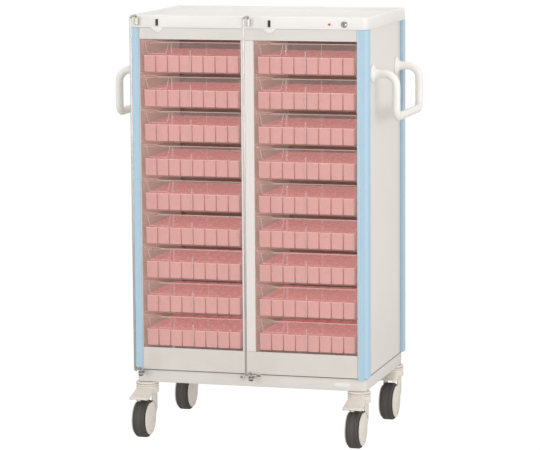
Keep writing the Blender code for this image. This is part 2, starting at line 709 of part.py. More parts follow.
def make_pedal(name, x, y, looks):
    """The brake pedal: a broad plate from the hood out over the wheel, hinged at its heel's lower edge."""
    tip = y - SWIVEL_TRAIL - WHEEL_RADIUS + PEDAL_TIP_SETBACK
    heel = y - HEAD_DIAMETER / 2 - PEDAL_HEEL_GAP
    low = WHEEL_DIAMETER + PEDAL_TYRE_ROOM
    nose = PEDAL_THICKNESS / 2
    middle = (tip + heel) / 2
    outline = [
        (tip, low - PEDAL_TIP_DROP + nose),
        (tip + nose, low - PEDAL_TIP_DROP),
        (middle, low),
        (heel, low),
        (heel, low + 1.5 * PEDAL_THICKNESS),
        (middle, low + PEDAL_THICKNESS),
        (tip + nose, low - PEDAL_TIP_DROP + PEDAL_THICKNESS),
    ]
    half = PEDAL_WIDTH / 2
    pedal = prism(name, outline, x - half, x + half, looks["caster"], axis="X")
    pivot_at(pedal, (x, heel, low))


def make_casters(looks):
    """Four swivel casters, all with their wheels ahead; the two front ones have brake pedals."""
    for end, y in (("front", Y_FRONT + SWIVEL_INSET_FRONT), ("rear", Y_BACK - SWIVEL_INSET_REAR)):
        for side, s in SIDES:
            x = s * (WIDTH / 2 - SWIVEL_INSET_X)
            make_head(f"caster_head_{end}_{side}", x, y, looks)
            make_fork(f"caster_fork_{end}_{side}", x, y, looks)
            make_wheel(f"caster_wheel_{end}_{side}", x, y - SWIVEL_TRAIL, looks)
            if end == "front":
                make_pedal(f"brake_pedal_{side}", x, y, looks)


def main():
    """Builds the whole cart."""
    clear_scene()
    looks = {
        "carcass": material("carcass_paint", (0.73, 0.70, 0.66), 0.45),
        "base": material("base_paint", (0.80, 0.78, 0.75), 0.45),
        "tray": material("tray_plastic", (0.84, 0.82, 0.80), 0.4),
        "post": material("post_plastic", (0.42, 0.61, 0.75), 0.5),
        "drawer": material("clear_plastic", (0.85, 0.75, 0.73), 0.1, alpha=0.35),
        "steel": material("stainless_steel", (0.62, 0.61, 0.58), 0.25, metallic=1.0),
        "chrome": material("bright_metal", (0.75, 0.74, 0.72), 0.15, metallic=1.0),
        "runner": material("runner_steel", (0.55, 0.54, 0.52), 0.5, metallic=1.0),
        "latch": material("latch_plastic", (0.86, 0.85, 0.83), 0.4),
        "lamp": material("lamp_lens", (0.8, 0.05, 0.04), 0.2),
        "handle": material("handle_coating", (0.80, 0.78, 0.75), 0.4),
        "caster": material("caster_housing", (0.66, 0.61, 0.53), 0.45),
        "tyre": material("tyre_rubber", (0.09, 0.08, 0.08), 0.7),
    }
    make_base(looks)
    make_posts(looks)
    make_side_panels(looks)
    make_front_frame(looks)
    make_back_panel(looks)
    make_runners(looks)
    make_tray(looks)
    make_drawers(looks)
    make_handles(looks)
    make_lock_bars(looks)
    make_latches(looks)
    make_lock_and_lamp(looks)
    make_casters(looks)


main()
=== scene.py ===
"""The looks of a medication cart: clear drawers of pink cassettes in a painted carcass on four casters.

Lengths are in metres, +Z is up and the front faces -Y. Every piece is built in place round the frame.
"""

import math

import bmesh
import bpy
import numpy as np
from mathutils import Matrix, Vector


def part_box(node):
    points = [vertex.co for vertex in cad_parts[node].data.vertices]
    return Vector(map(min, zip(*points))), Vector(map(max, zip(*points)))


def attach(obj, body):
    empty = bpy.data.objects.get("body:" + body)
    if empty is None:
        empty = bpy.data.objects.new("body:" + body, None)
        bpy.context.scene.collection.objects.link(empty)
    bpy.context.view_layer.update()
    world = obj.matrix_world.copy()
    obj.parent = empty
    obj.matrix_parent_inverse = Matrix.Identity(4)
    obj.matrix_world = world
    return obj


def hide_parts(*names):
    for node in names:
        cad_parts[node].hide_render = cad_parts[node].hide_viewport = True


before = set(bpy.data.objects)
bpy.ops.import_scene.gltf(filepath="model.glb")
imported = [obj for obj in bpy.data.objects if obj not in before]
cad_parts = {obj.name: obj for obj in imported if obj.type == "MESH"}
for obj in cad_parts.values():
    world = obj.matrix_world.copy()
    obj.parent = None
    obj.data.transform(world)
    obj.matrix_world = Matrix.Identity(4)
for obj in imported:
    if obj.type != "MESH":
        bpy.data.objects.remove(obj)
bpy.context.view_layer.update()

bl_info = {
    "name": "Medication cart",
    "version": (1, 0, 0),
    "blender": (4, 5, 0),
    "location": "View3D > Sidebar > Cart",
    "description": "Builds the drawers, bars, tray, handles, casters and finishes of a medication cart",
    "category": "Object",
}

SIDES = (("left", -1), ("right", 1))
ENDS = ("front", "rear")
ROWS = 9
CASSETTES = 8
CART = "cart"


def corners(node):
    """Lowest and highest corner of a node of the frame, as arrays."""
    low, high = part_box(node)
    return np.array(low), np.array(high)


def measured(node):
    """Lowest corner, highest corner, middle and half size of a node, as arrays."""
    low, high = corners(node)
    return low, high, (low + high) / 2, (high - low) / 2


# ---------------------------------------------------------------- surfaces


class Shape:
    """Vertices and faces of one piece, gathered from several closed surfaces."""

    def __init__(self):
        self.points = []
        self.faces = []
        self.tones = []
        self.count = 0

    def add(self, points, faces, tone=0.0):
        """Adds a closed surface, with its share of the piece's second colour."""
        points = np.asarray(points, float).reshape(-1, 3)
        self.points.append(points)
        self.faces += [[i + self.count for i in face] for face in faces]
        self.tones.append(np.broadcast_to(np.asarray(tone, float).reshape(-1), len(points)))
        self.count += len(points)
        return self

    def grid(self, rows, tone=0.0):
        """Rows of points, each a closed loop, joined in order, with the first and last loop closed off."""
        rows = np.asarray(rows, float)
        count, around = rows.shape[:2]
        index = np.arange(count * around).reshape(count, around)
        beside = np.roll(index, -1, axis=1)
        quads = np.stack([index[:-1], beside[:-1], beside[1:], index[1:]], axis=-1).reshape(-1, 4)
        faces = quads.tolist() + [index[0, ::-1].tolist(), index[-1].tolist()]
        return self.add(rows, faces, tone)

    def ring(self, rows, tone=0.0):
        """Rows of points, each a closed loop, joined in order and back to the first one."""
        rows = np.asarray(rows, float)
        count, around = rows.shape[:2]
        index = np.arange(count * around).reshape(count, around)
        beside = np.roll(index, -1, axis=1)
        after = np.roll(index, -1, axis=0)
        diagonal = np.roll(beside, -1, axis=0)
        quads = np.stack([index, beside, diagonal, after], axis=-1).reshape(-1, 4)
        return self.add(rows, quads.tolist(), tone)


def loop(half_x, half_y, radius, steps=4, along=1):
    """A rounded rectangle about the origin: four arcs, with straight runs cut into equal parts."""
    turn = np.linspace(0.0, math.pi / 2, steps + 1)
    arc = radius * np.stack([np.cos(turn), np.sin(turn)], axis=1)
    x, y = half_x - radius, half_y - radius
    pieces = []
    for quarter, (cx, cy) in enumerate(((x, y), (-x, y), (-x, -y), (x, -y))):
        a = quarter * math.pi / 2
        spun = arc @ np.array([[math.cos(a), math.sin(a)], [-math.sin(a), math.cos(a)]])
        pieces.append(spun + (cx, cy))
    parts = []
    for here, there in zip(pieces, pieces[1:] + pieces[:1]):
        share = np.arange(1, along)[:, None] / along
        parts += [here, here[-1] + (there[0] - here[-1]) * share]
    return np.concatenate(parts)


def stacked(half_x, half_y, radius, profile, steps=4):
    """Loops of a rounded rectangle up a profile of (inset, height): each is smaller by its inset."""
    rows = []
    for inset, height in profile:
        flat = loop(half_x - inset, half_y - inset, max(radius - inset, 0.0004), steps)
        rows.append(np.column_stack([flat, np.full(len(flat), height)]))
    return np.array(rows)


def turned(profile, steps=32):
    """A profile of (radius, height) turned about Z: x = r cos a, y = r sin a."""
    radius, height = np.asarray(profile, float).T
    angle = np.arange(steps) * 2 * math.pi / steps
    x = radius[:, None] * np.cos(angle)
    y = radius[:, None] * np.sin(angle)
    return np.stack([x, y, np.broadcast_to(height[:, None], x.shape)], axis=-1)


def filleted(points, radius, steps=6):
    """A path through the points, with each inner corner replaced by an arc of the radius."""
    points = np.asarray(points, float)
    radii = np.broadcast_to(radius, len(points) - 2)
    path = [points[:1]]
    for before, here, after, r in zip(points, points[1:], points[2:], radii):
        u = (before - here) / np.linalg.norm(before - here)
        v = (after - here) / np.linalg.norm(after - here)
        half = math.acos(float(np.clip(u @ v, -1, 1))) / 2
        middle = (u + v) / np.linalg.norm(u + v)
        centre = here + middle * r / math.sin(half)
        first = here + u * r / math.tan(half) - centre
        last = here + v * r / math.tan(half) - centre
        turn = math.pi - 2 * half
        t = np.linspace(0, 1, steps + 1)[:, None]
        path.append(centre + (first * np.sin((1 - t) * turn) + last * np.sin(t * turn)) / math.sin(turn))
    path.append(points[-1:])
    return np.concatenate(path)


def swept(path, radius, sides=14, lean=(0.31, 0.53, 0.79)):
    """A tube: circles across the path's direction, their first axis square to a fixed leaning vector."""
    path = np.asarray(path, float)
    along = np.gradient(path, axis=0)
    along /= np.linalg.norm(along, axis=1)[:, None]
    across = np.cross(along, np.asarray(lean))
    across /= np.linalg.norm(across, axis=1)[:, None]
    other = np.cross(along, across)
    angle = np.arange(sides) * 2 * math.pi / sides
    radius = np.broadcast_to(radius, len(path))[:, None, None]
    ring = across[:, None] * np.cos(angle)[:, None] + other[:, None] * np.sin(angle)[:, None]
    return path[:, None] + radius * ring


def extruded(outline, low, high, axis="Z", edge=0.0):
    """An outline carried from low to high along an axis, its two ends drawn in by the edge's radius."""
    outline = np.asarray(outline, float)
    after = np.roll(outline, -1, axis=0) - outline
    before = outline - np.roll(outline, 1, axis=0)
    inwards = np.stack([-after[:, 1], after[:, 0]], axis=1) / np.linalg.norm(after, axis=1)[:, None]
    inwards += np.stack([-before[:, 1], before[:, 0]], axis=1) / np.linalg.norm(before, axis=1)[:, None]
    inwards /= np.maximum(np.sum(inwards**2, axis=1), 0.4)[:, None] / 2
    area = np.sum(outline[:, 0] * np.roll(outline[:, 1], -1) - outline[:, 1] * np.roll(outline[:, 0], -1))
    inwards *= math.copysign(1.0, area)
    steps = [(0.0, low), (0.0, high)]
    if edge:
        steps = [(edge, low), (edge * 0.3, low + edge * 0.3), (0.0, low + edge)]
        steps += [(0.0, high - edge), (edge * 0.3, high - edge * 0.3), (edge, high)]
    order = {"Z": (0, 1, 2), "X": (2, 0, 1), "Y": (0, 2, 1)}[axis]
    rows = []
    for inset, height in steps:
        flat = outline + inwards * inset
        solid = np.column_stack([flat, np.full(len(flat), height)])
        rows.append(solid[:, list(order)])
    return np.array(rows)


def slab(low, high, edge=0.0006):
    """A block between two corners with every edge rounded a little."""
    low, high = np.asarray(low, float), np.asarray(high, float)
    middle, half = (low + high) / 2, (high - low) / 2
    edge = min(edge, half.min() * 0.6)
    height = half[2]
    profile = [(edge, -height), (edge * 0.3, edge * 0.3 - height), (0, edge - height)]
    profile += [(0, height - edge), (edge * 0.3, height - edge * 0.3), (edge, height)]
    return stacked(half[0], half[1], edge * 1.2, profile, steps=2) + middle


def facing_front(points, x, y, z):
    """Turns a shape made about Z so that its top faces the front, and puts its origin at a point."""
    moved = np.stack([points[..., 0], -points[..., 2], points[..., 1]], axis=-1)
    return moved + (x, y, z)


def facing_side(points, x, y, z, s):
    """Turns a shape made about Z so that its top faces left or right, and puts its origin at a point."""
    moved = np.stack([s * points[..., 2], points[..., 0], points[..., 1]], axis=-1)
    return moved + (x, y, z)


def smoothstep(value, low, high):
    """0 below low, 1 above high, and 3t^2 - 2t^3 between."""
    t = np.clip((value - low) / (high - low), 0.0, 1.0)
    return t * t * (3 - 2 * t)


def make(name, shape, slot, body, replaces=(), smooth=38):
    """Makes the object of a shape, with its slot's finish, its body and the nodes that it stands for."""
    mesh = bpy.data.meshes.new(name)
    mesh.from_pydata(np.concatenate(shape.points).tolist(), [], shape.faces)
    tone = mesh.attributes.new("tone", "FLOAT", "POINT")
    tone.data.foreach_set("value", np.concatenate(shape.tones).astype(np.float32))
    work = bmesh.new()
    work.from_mesh(mesh)
    bmesh.ops.recalc_face_normals(work, faces=work.faces)
    work.to_mesh(mesh)
    work.free()
    mesh.materials.append(look(slot))
    mesh.shade_smooth()
    mesh.set_sharp_from_angle(angle=math.radians(smooth))
    made = bpy.data.objects.new(name, mesh)
    bpy.context.scene.collection.objects.link(made)
    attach(made, body)
    if replaces:
        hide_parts(*replaces)
    return made


# ---------------------------------------------------------------- finishes


class Wire:
    """One output of a node. Arithmetic on it adds Math nodes."""

    def __init__(self, tree, socket):
        self.tree = tree
        self.socket = socket

    def math(self, operation, other, turned_round=False):
        """A Math node of this value and another."""
        pair = (other, self) if turned_round else (self, other)
        return self.tree.node("ShaderNodeMath", {"operation": operation}, {0: pair[0], 1: pair[1]})

    def __add__(self, other):
        return self.math("ADD", other)

    def __sub__(self, other):
        return self.math("SUBTRACT", other)

    def __mul__(self, other):
        return self.math("MULTIPLY", other)

    def __rsub__(self, other):
        return self.math("SUBTRACT", other, True)

    __radd__ = __add__
    __rmul__ = __mul__

    def above(self, low, high):
        """0 below low, 1 above high and a smooth rise between."""
        sockets = {"Value": self, "From Min": low, "From Max": high}
        return self.tree.node("ShaderNodeMapRange", {"interpolation_type": "SMOOTHSTEP"}, sockets)


class Finish:
    """A material's nodes round one Principled shader."""

    def __init__(self, name, **values):
        self.material = bpy.data.materials.new(name)
        self.material.use_nodes = True
        self.nodes = self.material.node_tree.nodes
        self.links = self.material.node_tree.links
        self.shader = self.nodes["Principled BSDF"]
        for key, value in values.items():
            self.shader.inputs[key.replace("_", " ")].default_value = value
        self.place = self.node("ShaderNodeTexCoord", output="Object")
        self.tone = self.node("ShaderNodeAttribute", {"attribute_name": "tone"}, output="Fac")

    def put(self, socket, value):
        """Links a wire to a socket, or sets the socket to a plain value."""
        if isinstance(value, Wire):
            self.links.new(value.socket, socket)
        else:
            socket.default_value = value

    def node(self, kind, settings=None, sockets=None, output=0):
        """Adds a node: its settings first, then its sockets, and gives back one output."""
        made = self.nodes.new(kind)
        for key, value in (settings or {}).items():
            setattr(made, key, value)
        for key, value in (sockets or {}).items():
            self.put(made.inputs[key], value)
        return Wire(self, made.outputs[output])

    def mix(self, share, first, second):
        """A colour between two colours."""
        sockets = {0: share, 6: first, 7: second}
        return self.node("ShaderNodeMix", {"data_type": "RGBA"}, sockets, output=2)

    def tint(self, colour, amount):
        """A colour times a value."""
        grey = self.node("ShaderNodeCombineColor", {}, {0: amount, 1: amount, 2: amount})
        sockets = {0: 1.0, 6: colour, 7: grey}
        return self.node("ShaderNodeMix", {"data_type": "RGBA", "blend_type": "MULTIPLY"}, sockets, output=2)

    def stretched(self, x, y, z):
        """The place times three scales."""
        sockets = {0: self.place, 1: (x, y, z)}
        return self.node("ShaderNodeVectorMath", {"operation": "MULTIPLY"}, sockets)

    def noise(self, scale, detail=3.0, roughness=0.55, where=None):
        """Fractal noise over the place, between 0 and 1."""
        sockets = {"Vector": where or self.place, "Scale": scale, "Detail": detail, "Roughness": roughness}
        return self.node("ShaderNodeTexNoise", {}, sockets)

    def axis(self, which):
        """One coordinate of the place, in metres."""
        return self.node("ShaderNodeSeparateXYZ", {}, {0: self.place}, output=which)

    def drive(self, **wires):
        """Drives the shader's sockets by wires."""
        for key, wire in wires.items():
            self.put(self.shader.inputs[key.replace("_", " ")], wire)

    def bump(self, height, distance):
        """Raises the surface by a height between 0 and 1 times a distance."""
        sockets = {"Height": height, "Distance": distance, "Strength": 1.0}
        self.drive(Normal=self.node("ShaderNodeBump", {}, sockets))


def linear(colour):
    """A display colour as linear light, with full opacity."""
    value = np.asarray(colour[:3], float)
    low = value / 12.92
    high = ((value + 0.055) / 1.055) ** 2.4
    return (*np.where(value <= 0.04045, low, high).tolist(), 1.0)


def powder_coat(name, colour, soil_and_shade, shaded_folds=(), glow=0.0):
    """Satin powder coat: ripple, clouding, soil and painted shade low down, painted shade along folds in Z
    and where the piece's tone is high, and a painted glow where one is asked for.
    """
    look = Finish(name, Coat_Weight=0.08, Coat_Roughness=0.3)
    cloud = look.noise(5.0, 4.0)
    fine = look.noise(700.0, 2.0)
    height = look.axis(2)
    # Soil and painted shade: noisy patches of the darker colour low down, fading out from 0.16 m to 0.42 m.
    low_soil_and_shade = (1.0 - height.above(0.16, 0.42)) * look.noise(26.0, 5.0)
    base = look.tint(linear(colour), 0.965 + 0.07 * cloud)
    base = look.mix(low_soil_and_shade * 0.3, base, linear(soil_and_shade))
    painted_shade_share = look.tone
    # Painted shade: dark lines up the panels along the folds beside the posts.
    for depth, width in shaded_folds:
        off = (look.axis(1) - depth).math("ABSOLUTE", 0.0)
        painted_shade_share = painted_shade_share + 0.42 * (1.0 - off.above(width * 0.5, width))
    # The near-black colour is painted shade, for the fold lines and where the piece's tone is high.
    base = look.mix(painted_shade_share, base, (0.10, 0.085, 0.075, 1.0))
    look.drive(Base_Color=base, Roughness=0.36 + 0.12 * look.noise(40.0) + 0.06 * cloud)
    look.bump(fine, 0.00012)
    # Painted glow: the colour is also given off as light, by a piece that is no lamp.
    if glow:
        look.drive(Emission_Color=base)
        look.shader.inputs["Emission Strength"].default_value = glow
    return look.material


def moulded(name, colour, second, grain, roughness=0.34):
    """Moulded plastic: fine grain, a slight drift of colour, and a second colour where a piece has one."""
    look = Finish(name, Coat_Weight=0.05, Coat_Roughness=0.25)
    drift = look.noise(11.0, 3.0)
    spots = look.noise(grain, 2.0, 0.7)
    base = look.tint(look.mix(look.tone, linear(colour), linear(second)), 0.96 + 0.08 * drift)
    look.drive(Base_Color=base, Roughness=roughness + 0.16 * spots + 0.06 * drift)
    look.bump(spots, 0.00008)
    return look.material


def drawn_plastic(name, colour):
    """Extruded plastic: long, faint draw lines up the post, and a few cloudy rub marks."""
    look = Finish(name, Coat_Weight=0.12, Coat_Roughness=0.22)
    lines = look.noise(1.0, 4.0, 0.7, where=look.stretched(520.0, 520.0, 2.5))
    rubs = look.noise(14.0, 5.0, 0.6)
    base = look.tint(linear(colour), 0.94 + 0.09 * lines + 0.04 * rubs)
    look.drive(Base_Color=base, Roughness=0.3 + 0.16 * lines + 0.12 * rubs)
    look.bump(lines, 0.00008)
    return look.material


def clear_plastic(name, colour, opacity):
    """Clear moulding: mostly see-through, thicker at a glance, with haze, and along its raised edges paler
    and more opaque as painted highlight.
    """
    look = Finish(name, Coat_Weight=0.3, Coat_Roughness=0.04)
    edge_on = look.node("ShaderNodeLayerWeight", {}, {"Blend": 0.35}, output="Facing")
    haze = look.noise(30.0, 4.0, 0.6)
    ripple = look.noise(55.0, 1.0)
    # Painted highlight: where the tone is high the plastic is paler and more opaque.
    alpha = opacity + 0.03 * haze + 0.5 * look.tone + 0.16 * edge_on
    base = look.mix(look.tone, linear(colour), (0.92, 0.80, 0.78, 1.0))
    look.drive(Base_Color=base, Alpha=alpha, Roughness=0.05 + 0.12 * haze)
    look.bump(ripple, 0.0003)
    return look.material


def pink_plastic(name, colour, rim_highlight_colour, inside_glow_colour):
    """Tinted moulding: a painted glow all over, painted highlight along its rims, and a deeper colour with a
    stronger painted glow inside.
    """
    look = Finish(name, Coat_Weight=0.15, Coat_Roughness=0.15)
    flow = look.noise(24.0, 4.0)
    # Painted highlight: the rims take the paler rim colour.
    rim = look.tone.above(0.5, 1.0)
    # Inside the cassettes: a deeper colour and a stronger painted glow.
    glow_inside = 1.0 - look.tone.above(0.0, 0.5)
    base = look.mix(rim, linear(colour), linear(rim_highlight_colour))
    base = look.mix(glow_inside, base, linear(inside_glow_colour))
    base = look.tint(base, 0.95 + 0.1 * flow)
    glow = look.tint(base, 0.85 + 1.5 * glow_inside)
    look.drive(Base_Color=base, Emission_Color=glow, Roughness=0.22 + 0.14 * flow)
    # Painted glow: the cassettes give off a little light, though they are no lamp.
    look.shader.inputs["Emission Strength"].default_value = 0.16
    look.bump(look.noise(90.0, 2.0), 0.0002)
    return look.material


def metal(name, colour, roughness, lines):
    """Drawn or plated metal: streaks of gloss along Z, and a slight drift of tone."""
    look = Finish(name, Metallic=1.0)
    streaks = look.noise(1.0, 3.0, 0.6, where=look.stretched(lines, lines, lines * 0.05))
    drift = look.noise(35.0, 3.0)
    base = look.mix(look.tone, look.tint(linear(colour), 0.88 + 0.2 * drift), (0.02, 0.02, 0.02, 1.0))
    look.drive(Base_Color=base, Roughness=roughness + 0.14 * streaks + 0.08 * drift)
    look.bump(streaks, 0.00004)
    return look.material


def rubber(name, colour, paler_middle):
    """Tyre rubber: dull, dusty in patches, with the tread's middle paler."""
    look = Finish(name)
    dust = look.noise(60.0, 5.0, 0.65)
    grain = look.noise(1400.0, 2.0)
    base = look.mix(look.tone * 0.4 + 0.3 * dust, linear(colour), linear(paler_middle))
    look.drive(Base_Color=base, Roughness=0.62 + 0.2 * dust)
    look.bump(grain, 0.0001)
    return look.material


def lens(name, colour):
    """The lamp's lens: clear red with a faint cloudiness and a darker collar."""
    look = Finish(name, Coat_Weight=0.6, Coat_Roughness=0.05)
    cloud = look.noise(400.0, 2.0)
    base = look.mix(look.tone, linear(colour), (0.02, 0.018, 0.018, 1.0))
    look.drive(Base_Color=look.tint(base, 0.8 + 0.3 * cloud), Roughness=0.1 + 0.15 * cloud)
    look.drive(Emission_Color=look.tint(look.mix(look.tone, linear(colour), (0, 0, 0, 1)), 0.6 + 0.2 * cloud))
    look.shader.inputs["Emission Strength"].default_value = 0.5
    return look.material


# ---------------------------------------------------------------- settings


def colour_setting(name, description, value):
    """A colour that a user may change."""
    return bpy.props.FloatVectorProperty(
        name=name, description=description, default=value, subtype="COLOR", size=3, min=0.0, max=1.0
    )


def length_setting(name, description, value):
    """A length that a user may change."""
    return bpy.props.FloatProperty(
        name=name, description=description, default=value, subtype="DISTANCE", unit="LENGTH", min=0.0
    )


class CartColours(bpy.types.PropertyGroup):
    """Colours of the cart's finishes, as shown on a display."""

    carcass: colour_setting("Carcass", "Painted panels and frame", (0.888, 0.865, 0.845))
    base: colour_setting("Base", "Painted base", (0.885, 0.87, 0.855))
    # Soil colour, used also as painted shade low on the painted sheets.
    soil_and_shade: colour_setting("Soil", "Soil low on the painted sheets", (0.74, 0.70, 0.64))
    tray: colour_setting("Tray", "Moulded top tray", (0.915, 0.903, 0.89))
    post: colour_setting("Posts", "Corner posts", (0.672, 0.785, 0.855))
    clear: colour_setting("Clear plastic", "Drawer mouldings", (0.90, 0.80, 0.77))
    cassette: colour_setting("Cassettes", "Cassette fronts", (0.86, 0.635, 0.62))
    # Paler rim colour, a painted highlight.
    cassette_rim_highlight: colour_setting("Cassette rims", "Rims of the cassettes", (0.95, 0.74, 0.725))
    # Deeper colour inside, with a painted glow.
    cassette_inside_glow: colour_setting("Cassette insides", "Insides of the cassettes", (0.85, 0.57, 0.57))
    steel: colour_setting("Bars", "Stainless bars", (0.74, 0.73, 0.71))
    plating: colour_setting("Plating", "Lock and screws", (0.74, 0.72, 0.70))
    runner: colour_setting("Runners", "Painted runner sheets", (0.82, 0.72, 0.67))
    handle: colour_setting("Handles", "Coated handles", (0.93, 0.915, 0.895))
    caster: colour_setting("Casters", "Caster housings", (0.88, 0.85, 0.81))
    tyre: colour_setting("Tyres", "Tyre rubber", (0.225, 0.21, 0.20))
    # Colour of the tread's paler middle.
    tyre_tread_middle: colour_setting("Worn tread", "Middle of the tread", (0.42, 0.40, 0.38))
    lamp: colour_setting("Lamp", "Lens of the lamp", (0.92, 0.10, 0.08))


class CartSizes(bpy.types.PropertyGroup):
    """Sizes of the cart's fine detail."""

    drawer_wall: length_setting("Drawer wall", "Thickness of a drawer's sides", 0.0018)
    cassette_pitch: length_setting("Cassette pitch", "Spacing of the cassettes", 0.0322)
    cassette_length: length_setting("Cassette length", "Length of the cassettes, front to back", 0.240)
    cassette_height: length_setting("Cassette height", "Height of the cassettes", 0.043)
    rim_radius: length_setting("Tray rim", "Rounding of the tray's rim", 0.0045)
    tongue_drop: length_setting("Tongue drop", "Tongues below the tray", 0.0108)
    flute_depth: length_setting("Post flutes", "Depth of the posts' flutes", 0.0006)
    grip_bend: length_setting("Grip bend", "Lower bends of the handles", 0.022)


def settings():
    """The cart's colours and sizes."""
    scene = bpy.context.scene
    return scene.cart_colours, scene.cart_sizes


LOOKS = {}


def shaded_fold_lines():
    """Where painted shade lines run up the side panels by their folds beside the posts: (y, half-width) of
    each.
    """
    _, front = corners("corner_post_front_right")
    rear, _ = corners("corner_post_rear_right")
    return ((front[1] + 0.0012, 0.0032), (rear[1] - 0.0012, 0.004), (rear[1] - 0.0165, 0.004))


def look(name):
    """A finish by its slot's name, made when it is first asked for."""
    if name in LOOKS:
        return LOOKS[name]
    c, _ = settings()
    recipes = {
        "carcass_paint": lambda: powder_coat("carcass_paint", c.carcass, c.soil_and_shade),
        "side_paint": lambda: powder_coat("side_paint", c.carcass, c.soil_and_shade, shaded_fold_lines()),
        # Painted shade: the top rail and bottom panel take the carcass colour 4.5% darker.
        "shaded_rail_paint": lambda: powder_coat("shaded_rail_paint", [0.955 * part for part in c.carcass], c.soil_and_shade),
        "base_paint": lambda: powder_coat("base_paint", c.base, c.soil_and_shade),
        "tray_plastic": lambda: moulded("tray_plastic", c.tray, c.soil_and_shade, 900.0),
        "post_plastic": lambda: drawn_plastic("post_plastic", c.post),
        "clear_plastic": lambda: clear_plastic("clear_plastic", c.clear, 0.07),
        # Cassettes: painted highlight on the rims, painted glow all over and more inside.
        "cassette_plastic": lambda: pink_plastic(
            "cassette_plastic", c.cassette, c.cassette_rim_highlight, c.cassette_inside_glow
        ),
        "stainless_steel": lambda: metal("stainless_steel", c.steel, 0.2, 900.0),
        "bright_metal": lambda: metal("bright_metal", c.plating, 0.12, 500.0),
        # Painted glow: the runner sheets and partition glow a little to light the drawers' insides.
        "runner_steel": lambda: powder_coat("runner_steel", c.runner, c.soil_and_shade, glow=0.24),
        "latch_plastic": lambda: moulded("latch_plastic", c.tray, (0.03, 0.03, 0.03), 1200.0),
        "lamp_lens": lambda: lens("lamp_lens", c.lamp),
        "handle_coating": lambda: moulded("handle_coating", c.handle, c.soil_and_shade, 600.0, 0.3),
        "caster_housing": lambda: moulded("caster_housing", c.caster, (0.30, 0.27, 0.24), 800.0, 0.32),
        "tyre_rubber": lambda: rubber("tyre_rubber", c.tyre, c.tyre_tread_middle),
    }
    LOOKS[name] = recipes[name]()
    return LOOKS[name]


# ---------------------------------------------------------------- pieces



class CART_OT_carcass(bpy.types.Operator):
    """Paints the sheets of the frame and builds the base with its softened edges"""

    bl_idname = "cart.carcass"
    bl_label = "Carcass and base"

    def execute(self, context):
        """Painted sheets keep their frame shape; the base is a rounded block's loops up a profile."""
        painted = {
            "side_paint": ("side_panel_left", "side_panel_right"),
            # The rail paint is the carcass paint darkened as painted shade.
            "shaded_rail_paint": ("front_top_rail", "front_bottom_panel"),
            "carcass_paint": ("centre_mullion", "back_panel"),
            "runner_steel": ("centre_partition", "runner_rack_left", "runner_rack_right"),
        }
        for finish, nodes in painted.items():
            for node in nodes:
                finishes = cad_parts[node].data.materials
                finishes.clear()
                finishes.append(look(finish))
        low, high, middle, half = measured("base")
        z = (low[2] - middle[2], high[2] - middle[2])
        profile = [(0.03, z[0] + 0.0002), (0.0032, z[0] + 0.0002), (0.001, z[0] + 0.001)]
        profile += [(0.0, z[0] + 0.0032), (0.0, z[1] - 0.0042), (0.0, z[1] - 0.0034)]
        profile += [(0.0008, z[1] - 0.0008), (0.0022, z[1]), (0.03, z[1])]
        rows = stacked(half[0], half[1], 0.008, profile, 6)
        # Painted shade: the rounded top edge and the top face take the dark colour, for the shadowed gap
        # under the panels.
        tone = np.repeat([0.0, 0.0, 0.0, 0.0, 0.0, 0.75, 0.95, 0.95, 0.95], rows.shape[1])
        shape = Shape().grid(rows + middle, tone)
        make("base_pan", shape, "base_paint", CART, ["base"])
        return {"FINISHED"}


class CART_OT_posts(bpy.types.Operator):
    """Builds the four blue corner posts with their fluted faces"""

    bl_idname = "cart.posts"
    bl_label = "Corner posts"

    def execute(self, context):
        """An L-shaped outline with a rounded corner and shallow flutes, carried up Z."""
        sizes = context.scene.cart_sizes
        depth = sizes.flute_depth
        for side, s in SIDES:
            for end in ENDS:
                node = f"corner_post_{end}_{side}"
                low, high = corners(node)
                width, length = high[0] - low[0], high[1] - low[1]
                r, leg, inside = 0.009, 0.0117, width - 0.0077
                turn = np.linspace(-math.pi / 2, 0, 9)
                arc = np.stack([width - r + r * np.cos(turn), r + r * np.sin(turn)], axis=1)
                across = np.array([0.0, 0.0045, 0.0052, 0.0068, 0.0075, 0.0118, 0.0125, 0.0141, 0.0148])
                sunk = np.array([0.0006, 0.0, depth, depth, 0.0, 0.0, depth, depth, 0.0])
                front = np.stack([across, sunk], axis=1)
                along = np.array([0.0142, 0.0149, 0.0165, 0.0172, length])
                beside = width - np.array([0.0, depth, depth, 0.0, 0.0006])
                flank = np.stack([beside, along], axis=1)
                back = np.array([[inside, length], [inside, leg], [0.0, leg]])
                outline = np.concatenate([front, arc, flank, back])
                x = outline[:, 0] if s > 0 else width - outline[:, 0]
                y = outline[:, 1] if end == "front" else length - outline[:, 1]
                flat = np.stack([x + low[0], y + low[1]], axis=1)
                rows = extruded(flat, low[2], high[2])
                soft = rows[:1].copy()
                soft[..., 2] += 0.005
                rows = np.concatenate([rows[:1], soft, rows[1:]])
                outer = rows[0, :, 0] * s > abs(low[0] if s < 0 else high[0]) - 0.0095
                rows[0, outer, 2] += 0.0042
                shape = Shape().grid(rows)
                make(f"post_{end}_{side}", shape, "post_plastic", CART, [node], 30)
        return {"FINISHED"}


